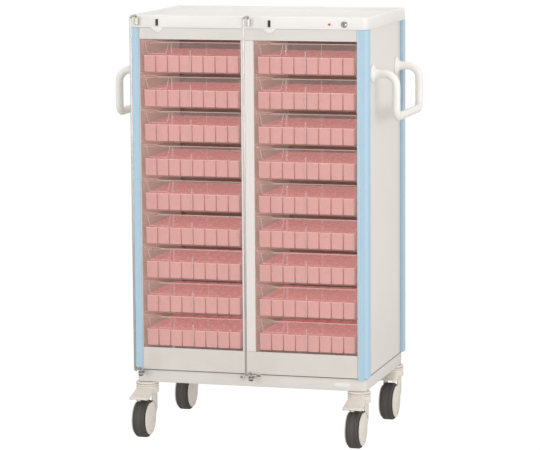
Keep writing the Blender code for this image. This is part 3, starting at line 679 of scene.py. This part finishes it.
class CART_OT_tray(bpy.types.Operator):
    """Builds the top tray with its rounded rim, its floor and the tongues under the latches"""

    bl_idname = "cart.tray"
    bl_label = "Top tray"

    def execute(self, context):
        """Loops of a rounded rectangle up the outside, over the rim and down to the floor."""
        sizes = context.scene.cart_sizes
        low, high, middle, half = measured("top_tray")
        r = sizes.rim_radius
        top, bottom = high[2] - middle[2], low[2] - middle[2]
        floor = top - 0.011
        profile = [(0.014, bottom), (0.0014, bottom), (0.0004, bottom + 0.0005), (0.0, bottom + 0.0014)]
        profile += [(0.0, top - r), (r * 0.08, top - r * 0.6), (r * 0.3, top - r * 0.3)]
        profile += [(r * 0.62, top - r * 0.08), (r, top), (0.0098, top), (0.0112, top - 0.0005)]
        profile += [(0.0124, top - 0.0019), (0.0136, floor + 0.0034), (0.0144, floor + 0.0014)]
        profile += [(0.0158, floor + 0.0004), (0.0178, floor)]
        shape = Shape().grid(stacked(half[0], half[1], 0.016, profile, 8) + middle)
        drop = sizes.tongue_drop
        for side, _ in SIDES:
            x = measured(f"latch_plate_{side}")[2][0]
            outline = [(x - 0.017, low[2] + 0.0005), (x - 0.0066, low[2] - drop), (x + 0.0066, low[2] - drop)]
            outline += [(x + 0.017, low[2] + 0.0005)]
            shape.grid(extruded(outline, low[1] + 0.0002, low[1] + 0.0017, "Y", 0.0004))
        make("tray", shape, "tray_plastic", CART, ["top_tray"])
        return {"FINISHED"}


class CART_OT_drawers(bpy.types.Operator):
    """Builds the clear drawers: thin tubs with a taller front, a label pocket and ribs"""

    bl_idname = "cart.drawers"
    bl_label = "Clear drawers"

    def execute(self, context):
        """A loop round the walls whose rim height is a function of x and y, out and back in."""
        sizes = context.scene.cart_sizes
        for side, _ in SIDES:
            for row in range(1, ROWS + 1):
                self.drawer(f"drawer_{side}_{row}", sizes.drawer_wall)
        return {"FINISHED"}

    def drawer(self, node, wall):
        """One drawer in the space of its node."""
        low, high, centre, half = measured(node)
        rim, top, front = low[2] + 0.068, high[2] - 0.0002, low[1]
        outer = loop(half[0], half[1], 0.003, 3, 28) + centre[:2]
        inner = loop(half[0] - wall, half[1] - wall, 0.002, 3, 28) + centre[:2]
        inner[:, 1] = np.maximum(inner[:, 1], front + 0.0026)

        def height(flat):
            """Rim height: the front stands taller, most of all along its first 42 mm."""
            from_left = flat[:, 0] - low[0]
            face = top - 0.0036 * smoothstep(from_left, 0.0405, 0.0435)
            return rim + (face - rim) * (1 - smoothstep(flat[:, 1] - front, 0.0035, 0.032))

        def level(flat, z, shrink=0.0):
            """A loop at a height, drawn in towards the middle by a share."""
            inwards = (centre[:2] - flat) / np.abs(half[:2])
            return np.column_stack([flat + inwards * shrink, np.broadcast_to(z, len(flat))])

        outside, inside = height(outer), height(inner)
        rows = [level(outer, low[2], 0.0025), level(outer, low[2] + 0.0008, 0.0006)]
        rows += [level(outer, low[2] + 0.0026), level(outer, outside - 0.0026)]
        rows += [level(outer, outside - 0.0024), level(outer, outside - 0.0004, 0.0003)]
        rows += [level(inner, inside - 0.0004, -0.0003), level(inner, inside - 0.0022)]
        rows += [level(inner, low[2] + 0.0036), level(inner, low[2] + wall, 0.0016)]
        # Share of painted highlight per loop, along the bottom edge and over the top rim; on the rim it is
        # fainter along the first 40 mm from the left.
        share = np.array([0.4, 0.3, 0.0, 0.0, 0.55, 0.7, 0.7, 0.0, 0.0, 0.05])
        rim_highlight_fade = 0.35 + 0.65 * smoothstep(outer[:, 0] - low[0], 0.038, 0.048)
        share = share[:, None]
        tone = np.where(share > 0.5, share * rim_highlight_fade, share * np.ones_like(rim_highlight_fade)).ravel()
        shape = Shape().grid(np.array(rows), tone)
        self.front(shape, low, high, front, top)
        make(node.replace("drawer", "clear_drawer"), shape, "clear_plastic", node, [node])

    def front(self, shape, low, high, front, top):
        """The pocket's raised line, the ribs and the upright lines moulded in the front."""
        left = low[0]
        face = front - 0.0003
        mouth = top - 0.0055
        pocket = [(left + 0.014, face, mouth), (left + 0.0205, face, mouth - 0.029)]
        pocket += [(left + 0.0715, face, mouth - 0.029), (left + 0.078, face, mouth)]
        # Painted highlight: the pocket's line, the lip, the uprights, the rib and the edge strip each take a
        # share of the paler colour.
        shape.grid(swept(filleted(pocket, 0.005, 4), 0.0008, 6), 0.5)
        lip = [(left + 0.0165, face, mouth - 0.002), (left + 0.0755, face, mouth - 0.002)]
        shape.grid(swept(lip, 0.0006, 6), 0.4)
        uprights = [(0.0845, 0.0007, 0.031, 0.5), (0.0868, 0.0006, 0.031, 0.4), (0.179, 0.0006, 0.037, 0.4)]
        for across, radius, drop, tone in uprights:
            line = [(left + across, face, mouth - 0.001), (left + across, face, mouth - drop)]
            shape.grid(swept(line, radius, 6), tone)
        middle = (low[0] + high[0]) / 2
        behind = front + 0.0024
        rib = ((middle - 0.0011, behind, low[2] + 0.004), (middle + 0.0011, behind + 0.0022, mouth - 0.018))
        shape.grid(slab(*rib, 0.0004), 0.55)
        # A thin strip inside the right wall, drawn as a painted highlight line on the side wall.
        right = high[0] - 0.0032
        edge = ((right, behind, low[2] + 0.004), (right + 0.0012, behind + 0.003, mouth - 0.002))
        shape.grid(slab(*edge, 0.0003), 0.5)


class CART_OT_cassettes(bpy.types.Operator):
    """Fills every drawer with eight tapered, open cassettes with partitions"""

    bl_idname = "cart.cassettes"
    bl_label = "Pink cassettes"

    def execute(self, context):
        """One tapered tub's loops, repeated across a drawer by adding the pitch."""
        sizes = context.scene.cart_sizes
        for side, _ in SIDES:
            for row in range(1, ROWS + 1):
                self.fill(f"drawer_{side}_{row}", sizes)
        return {"FINISHED"}

    def fill(self, node, sizes):
        """The cassettes of one drawer, side by side."""
        low, _ = corners(node)
        pitch, tall = sizes.cassette_pitch, sizes.cassette_height
        floor = low[2] + 0.0026
        front = low[1] + 0.0056
        rear = front + sizes.cassette_length
        half_x, half_y = pitch / 2 - 0.0003, (rear - front) / 2
        middle_y = (front + rear) / 2
        profile = [(0.0030, 0.0), (0.0020, 0.0004), (0.0015, 0.0016), (0.0005, tall - 0.0022)]
        profile += [(0.0, tall - 0.0016), (0.0, tall), (0.0016, tall), (0.0018, tall - 0.001)]
        profile += [(0.0030, 0.003), (0.0046, 0.0014)]
        tub = stacked(half_x, half_y, 0.0032, profile, 3)
        # Share per loop: 1 on the rim is painted highlight, near 0 inside gives the deeper colour and
        # stronger painted glow.
        tone = np.repeat([0.3, 0.5, 0.55, 0.6, 0.9, 1.0, 1.0, 0.3, 0.12, 0.05], tub.shape[1])
        centres = low[0] + 0.0068 + pitch * (np.arange(CASSETTES) + 0.5)
        reach = half_x - 0.0022
        places = np.linspace(front, rear, 5)[1:-1]
        shape = Shape()
        for x in centres:
            shape.grid(tub + (x, middle_y, floor), tone)
            for y in places:
                foot, head = floor + 0.002, floor + tall - 0.004
                shape.grid(slab((x - reach, y - 0.0006, foot), (x + reach, y + 0.0006, head)), 0.25)
        name = node.replace("drawer", "cassettes")
        make(name, shape, "cassette_plastic", node)


class CART_OT_bars(bpy.types.Operator):
    """Builds the two lock bars with their barrels and eyes"""

    bl_idname = "cart.bars"
    bl_label = "Lock bars"

    def execute(self, context):
        """A round bar carried along a bent path, and sleeves turned round its pins."""
        for side, _ in SIDES:
            low, high, (x, _, _), (r, _, _) = measured(f"lock_bar_{side}")
            pivot, out = high[1] - r, low[1] + r
            eye_low, eye_high = corners(f"bar_eye_{side}")
            barrel_low, barrel_high = corners(f"bar_barrel_{side}")
            top, bottom = high[2] - r, eye_high[2] + 0.0125
            path = [(x, pivot, low[2] + 0.0006), (x, pivot, bottom), (x, out, bottom), (x, out, top)]
            path += [(x, pivot, top), (x, pivot, barrel_low[2] - 0.0024)]
            shape = Shape().grid(swept(filleted(path, 0.006, 8), r * 0.98, 18))
            collar = [(0.0031, 0.0), (0.0042, 0.0), (0.0046, 0.0004), (0.0046, 0.0016), (0.0042, 0.002)]
            collar = turned([*collar, (0.0031, 0.002)], 20)
            for z in (low[2] + 0.0003, eye_high[2] + 0.0002):
                shape.ring(collar + (x, pivot, z))
            make(f"bar_{side}", shape, "stainless_steel", f"lock_bar_{side}", [f"lock_bar_{side}"])
            self.sleeve(f"barrel_{side}", f"bar_barrel_{side}", x, pivot, 0.005, barrel_low, barrel_high)
            self.sleeve(f"eye_{side}", f"bar_eye_{side}", x, pivot, 0.0065, eye_low, eye_high)
        return {"FINISHED"}

    def sleeve(self, name, node, x, pivot, radius, low, high):
        """A turned sleeve with softened ends, and the lug that carries it."""
        bore, tall = 0.0034, high[2] - low[2]
        profile = [(bore, 0.0), (radius - 0.0007, 0.0), (radius, 0.0007), (radius, tall - 0.0007)]
        profile += [(radius - 0.0007, tall), (bore, tall)]
        if tall > 0.01:
            waist = [(radius, tall * 0.48), (radius - 0.0006, tall * 0.49), (radius - 0.0006, tall * 0.51)]
            profile[3:3] = [*waist, (radius, tall * 0.52)]
        shape = Shape().ring(turned(profile, 26) + (x, pivot, low[2]))
        foot, head = low[2] + 0.0006, high[2] - 0.0006
        shape.grid(slab((x - 0.004, pivot + bore + 0.0002, foot), (x + 0.004, high[1], head)))
        if tall <= 0.01:
            nut = turned([(0.0044, 0.0), (0.0058, 0.0012), (0.0044, 0.0026)], 6)
            shape.grid(nut + (x, pivot, low[2] - 0.0034), 0.35)
            rim = radius + 0.0004
            washer = turned([(bore, 0.0), (rim, 0.0), (rim, 0.0005), (bore, 0.0005)], 26)
            for z in (low[2] - 0.0006, high[2] + 0.0001):
                shape.ring(washer + (x, pivot, z), 0.9)
        make(name, shape, "stainless_steel", CART, [node])


class CART_OT_fittings(bpy.types.Operator):
    """Builds the latches, the lock, the lamp, the stops and the small plates"""

    bl_idname = "cart.fittings"
    bl_label = "Small fittings"

    def execute(self, context):
        """Small turned and stacked shapes laid on the front faces."""
        for side, _ in SIDES:
            _, high, (x, _, z), (wide, _, tall) = measured(f"latch_plate_{side}")
            face = high[1]
            plate = [(0.0, 0.0), (0.0, 0.0006), (0.0008, 0.0012), (0.0031, 0.0012), (0.0036, 0.0009)]
            plate += [(0.0036, 0.0001)]
            rows = stacked(wide, tall, 0.0015, plate, 4)
            tone = np.repeat([0.0, 0.0, 0.0, 0.15, 1.0, 1.0], rows.shape[1])
            shape = Shape().grid(facing_front(rows, x, face, z), tone)
            make(f"latch_{side}", shape, "latch_plastic", CART, [f"latch_plate_{side}"])
        self.lock()
        self.stops()
        return {"FINISHED"}

    def lock(self):
        """The lock's ring and slotted plug, and the lamp's lens in its collar."""
        _, (_, face, _), (x, _, z), (r, _, _) = measured("lock_ring")
        ring = [(0.0062, 0.0), (r, 0.0), (r, 0.0009), (r - 0.0003, 0.0015), (r - 0.0009, 0.0019)]
        ring += [(0.0064, 0.0016)]
        shape = Shape().ring(facing_front(turned(ring, 40), x, face, z))
        make("lock_bezel", shape, "bright_metal", CART, ["lock_ring"])
        plug = [(0.0057, 0.0), (0.0057, 0.0029), (0.0051, 0.0034), (0.0026, 0.0031), (0.0012, 0.0031)]
        shape = Shape().grid(facing_front(turned(plug, 36), x, face, z))
        # A near-black slab as painted shade of the keyway.
        slot = ((x - 0.0008, face - 0.0035, z - 0.0038), (x + 0.0008, face - 0.003, z + 0.0038))
        shape.grid(slab(*slot, 0.0002), 1.0)
        make("lock_core", shape, "bright_metal", "lock_plug", ["lock_plug"])
        _, (_, face, _), (x, _, z), (r, _, _) = measured("status_lamp")
        lamp = [(r, 0.0), (r, 0.0008), (r - 0.0004, 0.0012), (r - 0.0006, 0.0011), (0.0019, 0.0019)]
        lamp += [(0.0008, 0.0024)]
        rows = facing_front(turned(lamp, 24), x, face, z)
        tone = np.repeat([1.0, 1.0, 1.0, 0.0, 0.0, 0.0], rows.shape[1])
        make("lamp", Shape().grid(rows, tone), "lamp_lens", CART, ["status_lamp"])

    def stops(self):
        """Round stops with a sunk screw, an oval keyhole plate and a blank plate."""
        post, _ = corners("corner_post_front_left")
        base, _ = corners("base")
        stop = [(0.0072, 0.0), (0.0072, 0.0022), (0.0066, 0.003), (0.0042, 0.0032), (0.0036, 0.0026)]
        stop += [(0.0034, 0.0014), (0.0028, 0.0016), (0.0012, 0.0019)]
        for name, x, face, z in (("outer", -0.3085, post[1], 0.1845), ("inner", -0.0235, base[1], 0.1690)):
            rows = facing_front(turned(stop, 28), x, face - 0.0001, z)
            # Painted shade: the sunk screw's recess and head take the darker colour.
            tone = np.repeat([0.0, 0.0, 0.0, 0.0, 0.2, 0.8, 0.6, 0.6], rows.shape[1])
            make(f"stop_{name}", Shape().grid(rows, tone), "caster_housing", CART)
        keyhole = [(0.0, 0.0), (0.0, 0.001), (0.0008, 0.0015), (0.0034, 0.0015), (0.0038, 0.0006)]
        rows = facing_front(stacked(0.0092, 0.0052, 0.0051, keyhole, 6), 0.0225, base[1] - 0.0001, 0.1735)
        # Painted shade: the sunk middle of the plate takes the darker colour, as the keyhole's shade.
        tone = np.repeat([0.0, 0.0, 0.0, 0.0, 1.0], rows.shape[1])
        make("keyhole_plate", Shape().grid(rows, tone), "caster_housing", CART)
        blank = [(0.0, 0.0), (0.0, 0.0004), (0.0003, 0.0007)]
        rows = facing_front(stacked(0.021, 0.0048, 0.001, blank, 3), 0.2465, base[1] - 0.0001, 0.1605)
        make("blank_plate", Shape().grid(rows), "latch_plastic", CART)
        low, high = corners("back_panel")
        shape = Shape()
        screw = [(0.0042, 0.0), (0.0041, 0.0008), (0.0034, 0.0017), (0.0019, 0.0021), (0.0017, 0.0014)]
        screw += [(0.0006, 0.0014)]
        # Painted shade: the screws' sunk drive recess turns near-black.
        tone = np.repeat([0.0, 0.0, 0.0, 0.1, 0.8, 1.0], 20)
        head = turned(screw, 20)
        head = np.stack([-head[..., 0], head[..., 2], head[..., 1]], axis=-1)
        for x in (low[0] + 0.012, (low[0] + high[0]) / 2, high[0] - 0.012):
            for z in np.linspace(low[2] + 0.014, high[2] - 0.014, 5):
                shape.grid(head + (x, high[1] + 0.0001, z), tone)
        make("back_screws", shape, "bright_metal", CART)


class CART_OT_handles(bpy.types.Operator):
    """Builds the two push handles with their flared feet"""

    bl_idname = "cart.handles"
    bl_label = "Push handles"

    def execute(self, context):
        """A tube carried round a bail-shaped path, with feet turned about its ends."""
        sizes = context.scene.cart_sizes
        for side, s in SIDES:
            node = f"push_handle_{side}"
            low, high = corners(node)
            r, flange = 0.0105, 0.024
            wall = high[0] if s < 0 else low[0]
            reach = (low[0] if s < 0 else high[0]) - s * r
            front, rear = low[1] + flange, high[1] - flange
            up, down = high[2] - flange, low[2] + r
            root = wall + s * 0.001
            path = [(root, front, up), (reach, front, up), (reach, front, down)]
            path += [(reach, rear, down), (reach, rear, up), (root, rear, up)]
            bends = (0.032, sizes.grip_bend, sizes.grip_bend, 0.032)
            shape = Shape().grid(swept(filleted(path, bends, 12), r, 24))
            foot = [(0.006, 0.0), (flange - 0.0004, 0.0), (flange, 0.0008), (flange - 0.0002, 0.0024)]
            foot += [(0.0205, 0.0046), (0.0162, 0.0066), (0.0132, 0.0096), (0.0118, 0.0135), (0.0112, 0.018)]
            foot += [(0.0104, 0.0182)]
            for y in (front, rear):
                shape.grid(facing_side(turned(foot, 36), wall, y, up, s))
            make(f"handle_{side}", shape, "handle_coating", CART, [node])
        return {"FINISHED"}


class CART_OT_casters(bpy.types.Operator):
    """Builds the casters: caps, twin-disc forks, tyres on hubs and brake pedals"""

    bl_idname = "cart.casters"
    bl_label = "Casters"

    def execute(self, context):
        """Turned caps and wheels, extruded fork sides and a lofted pedal."""
        for side, _ in SIDES:
            for end in ENDS:
                key = f"{end}_{side}"
                self.cap(key)
                self.fork(key, end)
                self.wheel(key)
            self.pedal(side)
        return {"FINISHED"}

    def cap(self, key):
        """The fixed cap: a turned disc with a groove round it."""
        _, (_, _, top), (x, y, _), (r, _, _) = measured(f"caster_head_{key}")
        foot = top - 0.011
        rise = top - foot
        profile = [(0.009, 0.0), (r - 0.0018, 0.0), (r - 0.0006, 0.0008), (r, 0.002), (r, rise * 0.44)]
        profile += [(r - 0.0011, rise * 0.5), (r - 0.0011, rise * 0.58), (r, rise * 0.64), (r, rise - 0.0012)]
        profile += [(r - 0.001, rise)]
        # Painted shade: the groove takes 60% of the darker colour.
        tone = np.repeat([0, 0, 0, 0, 0, 0.6, 0.6, 0, 0, 0], 48)
        shape = Shape().grid(turned(profile, 48) + (x, y, foot), tone)
        make(f"cap_{key}", shape, "caster_housing", CART, [f"caster_head_{key}"])

    def fork(self, key, end):
        """The turning hood, and on each side a disc round the axle with a leg up to the hood."""
        top = corners(f"caster_fork_{key}")[1][2]
        _, _, (x, y, _), (r, _, _) = measured(f"caster_head_{key}")
        wheel_low, _, (_, *axle), (half, _, radius) = measured(f"caster_wheel_{key}")
        disc = radius - 0.0075
        hood = top - 0.019
        profile = [(r - 0.010, 0.0), (r - 0.002, 0.0), (r - 0.0005, 0.0008), (r, 0.0025), (r, 0.0165)]
        profile += [(r - 0.0006, 0.018), (r - 0.002, 0.019), (0.0095, 0.019)]
        shape = Shape().grid(turned(profile, 48) + (x, y, hood))
        chord = math.sqrt(r * r - (half + 0.0057) ** 2)
        trail = y - axle[0]
        start = math.acos((trail - chord) / disc)
        turn = np.linspace(start, math.radians(365), 44)
        arc = np.stack([axle[0] + disc * np.cos(turn), axle[1] + disc * np.sin(turn)], axis=1)
        leg = [(y + chord, axle[1] + 0.017), (y + chord, hood + 0.008), (y - chord, hood + 0.008)]
        outline = np.concatenate([arc, leg])
        for s in (-1, 1):
            a, b = sorted((x + s * (half + 0.0012), x + s * (half + 0.0047)))
            shape.grid(extruded(outline, a, b, "X", 0.0011))
            boss = [(0.0125, 0.0), (0.0125, 0.0004), (0.0119, 0.0009), (0.004, 0.0012)]
            shape.grid(facing_side(turned(boss, 30), x + s * (half + 0.0045), axle[0], axle[1], s))
            # A dark dot as painted shade of the small hole in the disc.
            mark = [(0.0021, 0.0), (0.0021, 0.0003), (0.0014, 0.0005)]
            place = (x + s * (half + 0.0045), axle[0] + 0.004, axle[1] - disc + 0.009)
            shape.grid(facing_side(turned(mark, 16), *place, s), 1.0)
        reach = np.array([half + 0.001, 0.004, 0.004])
        centre = np.array([x, *axle])
        shape.grid(slab(centre - reach, centre + reach))
        if end == "rear":
            tip = wheel_low[1] + 0.0070
            shape.grid(self.bill(x, y, r - 0.004, tip, 0.0245, top - 0.002, 0.1155, 0.1140, 0.1065, 0.0068))
        else:
            turn = np.radians(np.linspace(28, 78, 14))
            bow = 0.0468
            for s in (-1, 1):
                beside = np.full(len(turn), x + s * (half + 0.0034))
                hook = [beside, axle[0] + bow * np.cos(turn), axle[1] + bow * np.sin(turn)]
                shape.grid(swept(np.column_stack(hook), 0.0017, 8), 1.0)
        name = f"caster_fork_{key}"
        make(f"housing_{key}", shape, "caster_housing", name, [name])

    def wheel(self, key):
        """A tyre with rounded shoulders and two fine grooves on a dished hub, turned about X."""
        node = f"caster_wheel_{key}"
        _, _, (x, y, z), (half, _, r) = measured(node)
        turn = np.linspace(0, math.pi / 2, 5)
        shoulder = np.stack([r - 0.006 + 0.006 * np.sin(turn), half - 0.006 + 0.006 * np.cos(turn)], axis=1)
        side = [(0.0052, half - 0.0015), (r - 0.013, half - 0.0015), (r - 0.0115, half)]
        tread = [(r, 0.0065), (r - 0.0006, 0.0058), (r - 0.0006, 0.0048), (r, 0.0041)]
        right = np.array([*side, *shoulder, *tread])
        left = right[::-1] * (1, -1)
        profile = np.concatenate([right, left])
        profile[:, 1] *= -1
        # The tread's middle takes a share of the paler colour, most at its centre.
        fading = 0.5 - 0.45 * smoothstep(np.abs(profile[:, 1]), 0.002, 0.0095)
        paler_middle = np.where(profile[:, 0] > r - 0.0012, fading, 0.0)
        rows = turned(profile, 64)
        rows = np.stack([rows[..., 2], rows[..., 0], rows[..., 1]], axis=-1) + (x, y, z)
        shape = Shape().ring(rows, np.repeat(paler_middle, 64))
        make(f"tyre_{key}", shape, "tyre_rubber", node, [node])

    def bill(self, x, y, hood, tip, half, over_heel, over_tip, under, under_tip, arch):
        """A duck's bill: loops from a heel bent round the hood to a rounded tip, by the share of the way."""
        share = np.linspace(0.0, 1.0, 21)[:, None]
        angle = (np.arange(40) * 2 * math.pi / 40)[None, :]
        nose = np.sqrt(np.clip(1 - ((share - 0.84) / 0.16).clip(0) ** 2, 0.03, 1))
        width = half * (0.94 + 0.06 * smoothstep(share, 0.1, 0.6)) * (0.68 + 0.32 * nose)
        ring_x = np.sign(np.cos(angle)) * np.abs(np.cos(angle)) ** 0.3
        ring_z = np.sign(np.sin(angle)) * np.abs(np.sin(angle)) ** 0.4
        across = width * ring_x
        heel = y - np.sqrt(np.maximum(hood**2 - across**2, 0.0))
        over = over_tip + (over_heel - over_tip) * (1 - smoothstep(share, -0.15, 0.85)) - 0.0035 * (1 - nose)
        foot = under + (under_tip - under) * smoothstep(share, 0.15, 0.9) + 0.0015 * (1 - nose)
        crown = 0.0016 * (1 - (across / half) ** 2) * (ring_z > 0)
        raised = arch * (1 - np.abs(across / half) ** 4) * (ring_z < 0)
        height = (over + foot) / 2 + (over - foot) / 2 * ring_z + crown + raised
        return np.stack([x + across, heel + (tip - heel) * share, height], axis=-1)

    def pedal(self, side):
        """The pedal: a bill from the hood out over the tyre, with a dark tab and a pale pad under it."""
        node = f"brake_pedal_{side}"
        low, high, _, (half, _, _) = measured(node)
        _, _, (x, y, _), (radius, _, _) = measured(f"caster_head_front_{side}")
        hood, tip, top = radius + 0.0012, low[1], high[2] + 0.0095
        over_tip, under = low[2] + 0.0105, low[2] + 0.0100
        # Painted shade: the whole bill takes 6% of the darker colour.
        shape = Shape().grid(self.bill(x, y, hood, tip, half, top, over_tip, under, low[2], 0.0030), 0.06)
        tab = ((x - 0.0075, tip + 0.010, low[2] - 0.001), (x + 0.0075, tip + 0.016, low[2] + 0.004))
        shape.grid(slab(*tab, 0.0008), 1.0)
        pad = ((x - 0.005, tip + 0.0085, low[2] - 0.0016), (x + 0.005, tip + 0.0125, low[2] + 0.003))
        shape.grid(slab(*pad, 0.0008), 0.0)
        make(f"pedal_{side}", shape, "caster_housing", node, [node], 50)


class CART_OT_stage(bpy.types.Operator):
    """Sets up the pale floor, the soft lights and the camera"""

    bl_idname = "cart.stage"
    bl_label = "Floor, lights and camera"

    def execute(self, context):
        """A floor that fades into a white surround, a broad key light, and one long lens."""
        scene = context.scene
        scene.view_settings.view_transform = "Standard"
        self.surround(scene)
        self.floor()
        self.light("key", (-2.2, -3.2, 1.1), (0.0, 0.0, 0.45), 1.8, 34.0)
        self.light("fill", (3.2, -2.2, 0.8), (0.0, 0.0, 0.4), 2.2, 64.0)
        self.light("top", (0.0, 0.2, 3.4), (0.0, 0.1, 1.0), 1.6, 14.0)
        self.camera(scene)
        return {"FINISHED"}

    def surround(self, scene):
        """White where it is looked at, and softer as a source of light."""
        world = bpy.data.worlds.new("surround")
        scene.world = world
        world.use_nodes = True
        world.node_tree.nodes.clear()
        white_to_the_eye(world.node_tree, "ShaderNodeBackground", "ShaderNodeOutputWorld", 0.82)

    def floor(self):
        """A wide, very shallow dish: height is a small share of the square of the distance."""
        across = np.linspace(-6.0, 6.0, 41)
        x, y = np.meshgrid(across, across)
        z = -0.0006 - 0.000002 * (x**2 + y**2)
        index = np.arange(41 * 41).reshape(41, 41)
        quads = np.stack([index[:-1, :-1], index[:-1, 1:], index[1:, 1:], index[1:, :-1]], axis=-1)
        mesh = bpy.data.meshes.new("floor")
        points = np.stack([x, y, z], axis=-1).reshape(-1, 3)
        mesh.from_pydata(points.tolist(), [], quads.reshape(-1, 4).tolist())
        paper = bpy.data.materials.new("floor_paper")
        paper.use_nodes = True
        paper.node_tree.nodes.clear()
        white_to_the_eye(paper.node_tree, "ShaderNodeEmission", "ShaderNodeOutputMaterial", 0.58)
        mesh.materials.append(paper)
        made = bpy.data.objects.new("floor", mesh)
        bpy.context.scene.collection.objects.link(made)

    def light(self, name, place, target, size, power):
        """A square soft light at a place, turned to a target."""
        data = bpy.data.lights.new(name, "AREA")
        data.size = size
        data.energy = power
        made = bpy.data.objects.new(name, data)
        made.location = place
        made.rotation_euler = aim(place, target)
        bpy.context.scene.collection.objects.link(made)

    def camera(self, scene):
        """A long lens a little above the middle of the cart, off to its right."""
        azimuth, elevation, roll = math.radians(15.80), math.radians(7.95), math.radians(-0.393)
        level = math.cos(elevation)
        back = np.array([math.sin(azimuth) * level, -math.cos(azimuth) * level, math.sin(elevation)])
        right = np.array([math.cos(azimuth), math.sin(azimuth), 0.0])
        up = np.cross(back, right)
        x = right * math.cos(roll) + up * math.sin(roll)
        y = up * math.cos(roll) - right * math.sin(roll)
        data = bpy.data.cameras.new("camera")
        data.lens = 188.0
        data.sensor_width = 36.0
        data.clip_start = 0.5
        data.clip_end = 60.0
        made = bpy.data.objects.new("camera", data)
        matrix = np.eye(4)
        matrix[:3, 0], matrix[:3, 1], matrix[:3, 2] = x, y, back
        matrix[:3, 3] = (2.0205, -7.1191, 1.5796)
        made.matrix_world = Matrix(matrix.tolist())
        scene.collection.objects.link(made)
        scene.camera = made


def white_to_the_eye(tree, kind, end, strength):
    """A glow that is white where it is looked at, and softer as a source of light."""
    seen, lit = tree.nodes.new(kind), tree.nodes.new(kind)
    seen.inputs["Color"].default_value = (1.0, 1.0, 1.0, 1.0)
    seen.inputs["Strength"].default_value = 1.05
    lit.inputs["Color"].default_value = (1.0, 0.99, 0.975, 1.0)
    lit.inputs["Strength"].default_value = strength
    path, mixed = tree.nodes.new("ShaderNodeLightPath"), tree.nodes.new("ShaderNodeMixShader")
    tree.links.new(path.outputs["Is Camera Ray"], mixed.inputs[0])
    tree.links.new(lit.outputs[0], mixed.inputs[1])
    tree.links.new(seen.outputs[0], mixed.inputs[2])
    tree.links.new(mixed.outputs[0], tree.nodes.new(end).inputs["Surface"])


def aim(place, target):
    """The turn that points a light at a target."""
    return (Vector(target) - Vector(place)).to_track_quat("-Z", "Y").to_euler()


OPERATORS = (
    CART_OT_stage,
    CART_OT_carcass,
    CART_OT_posts,
    CART_OT_tray,
    CART_OT_drawers,
    CART_OT_cassettes,
    CART_OT_bars,
    CART_OT_fittings,
    CART_OT_handles,
    CART_OT_casters,
)


class CART_PT_panel(bpy.types.Panel):
    """Lists the cart's pieces and settings"""

    bl_label = "Medication cart"
    bl_idname = "CART_PT_panel"
    bl_space_type = "VIEW_3D"
    bl_region_type = "UI"
    bl_category = "Cart"

    def draw(self, context):
        """Shows the operators, then the sizes and colours."""
        for kind in OPERATORS:
            self.layout.operator(kind.bl_idname)
        for group in settings():
            for key in group.__annotations__:
                self.layout.prop(group, key)


CLASSES = (CartColours, CartSizes, *OPERATORS, CART_PT_panel)


def register():
    """Registers the classes and gives the scene its settings."""
    for kind in CLASSES:
        bpy.utils.register_class(kind)
    bpy.types.Scene.cart_colours = bpy.props.PointerProperty(type=CartColours)
    bpy.types.Scene.cart_sizes = bpy.props.PointerProperty(type=CartSizes)


def unregister():
    """Takes the settings and the classes away again."""
    del bpy.types.Scene.cart_sizes
    del bpy.types.Scene.cart_colours
    for kind in reversed(CLASSES):
        bpy.utils.unregister_class(kind)


def main():
    """Builds the whole cart through its operators."""
    register()
    for kind in OPERATORS:
        group, name = kind.bl_idname.split(".")
        getattr(getattr(bpy.ops, group), name)()


if __name__ == "__main__":
    main()
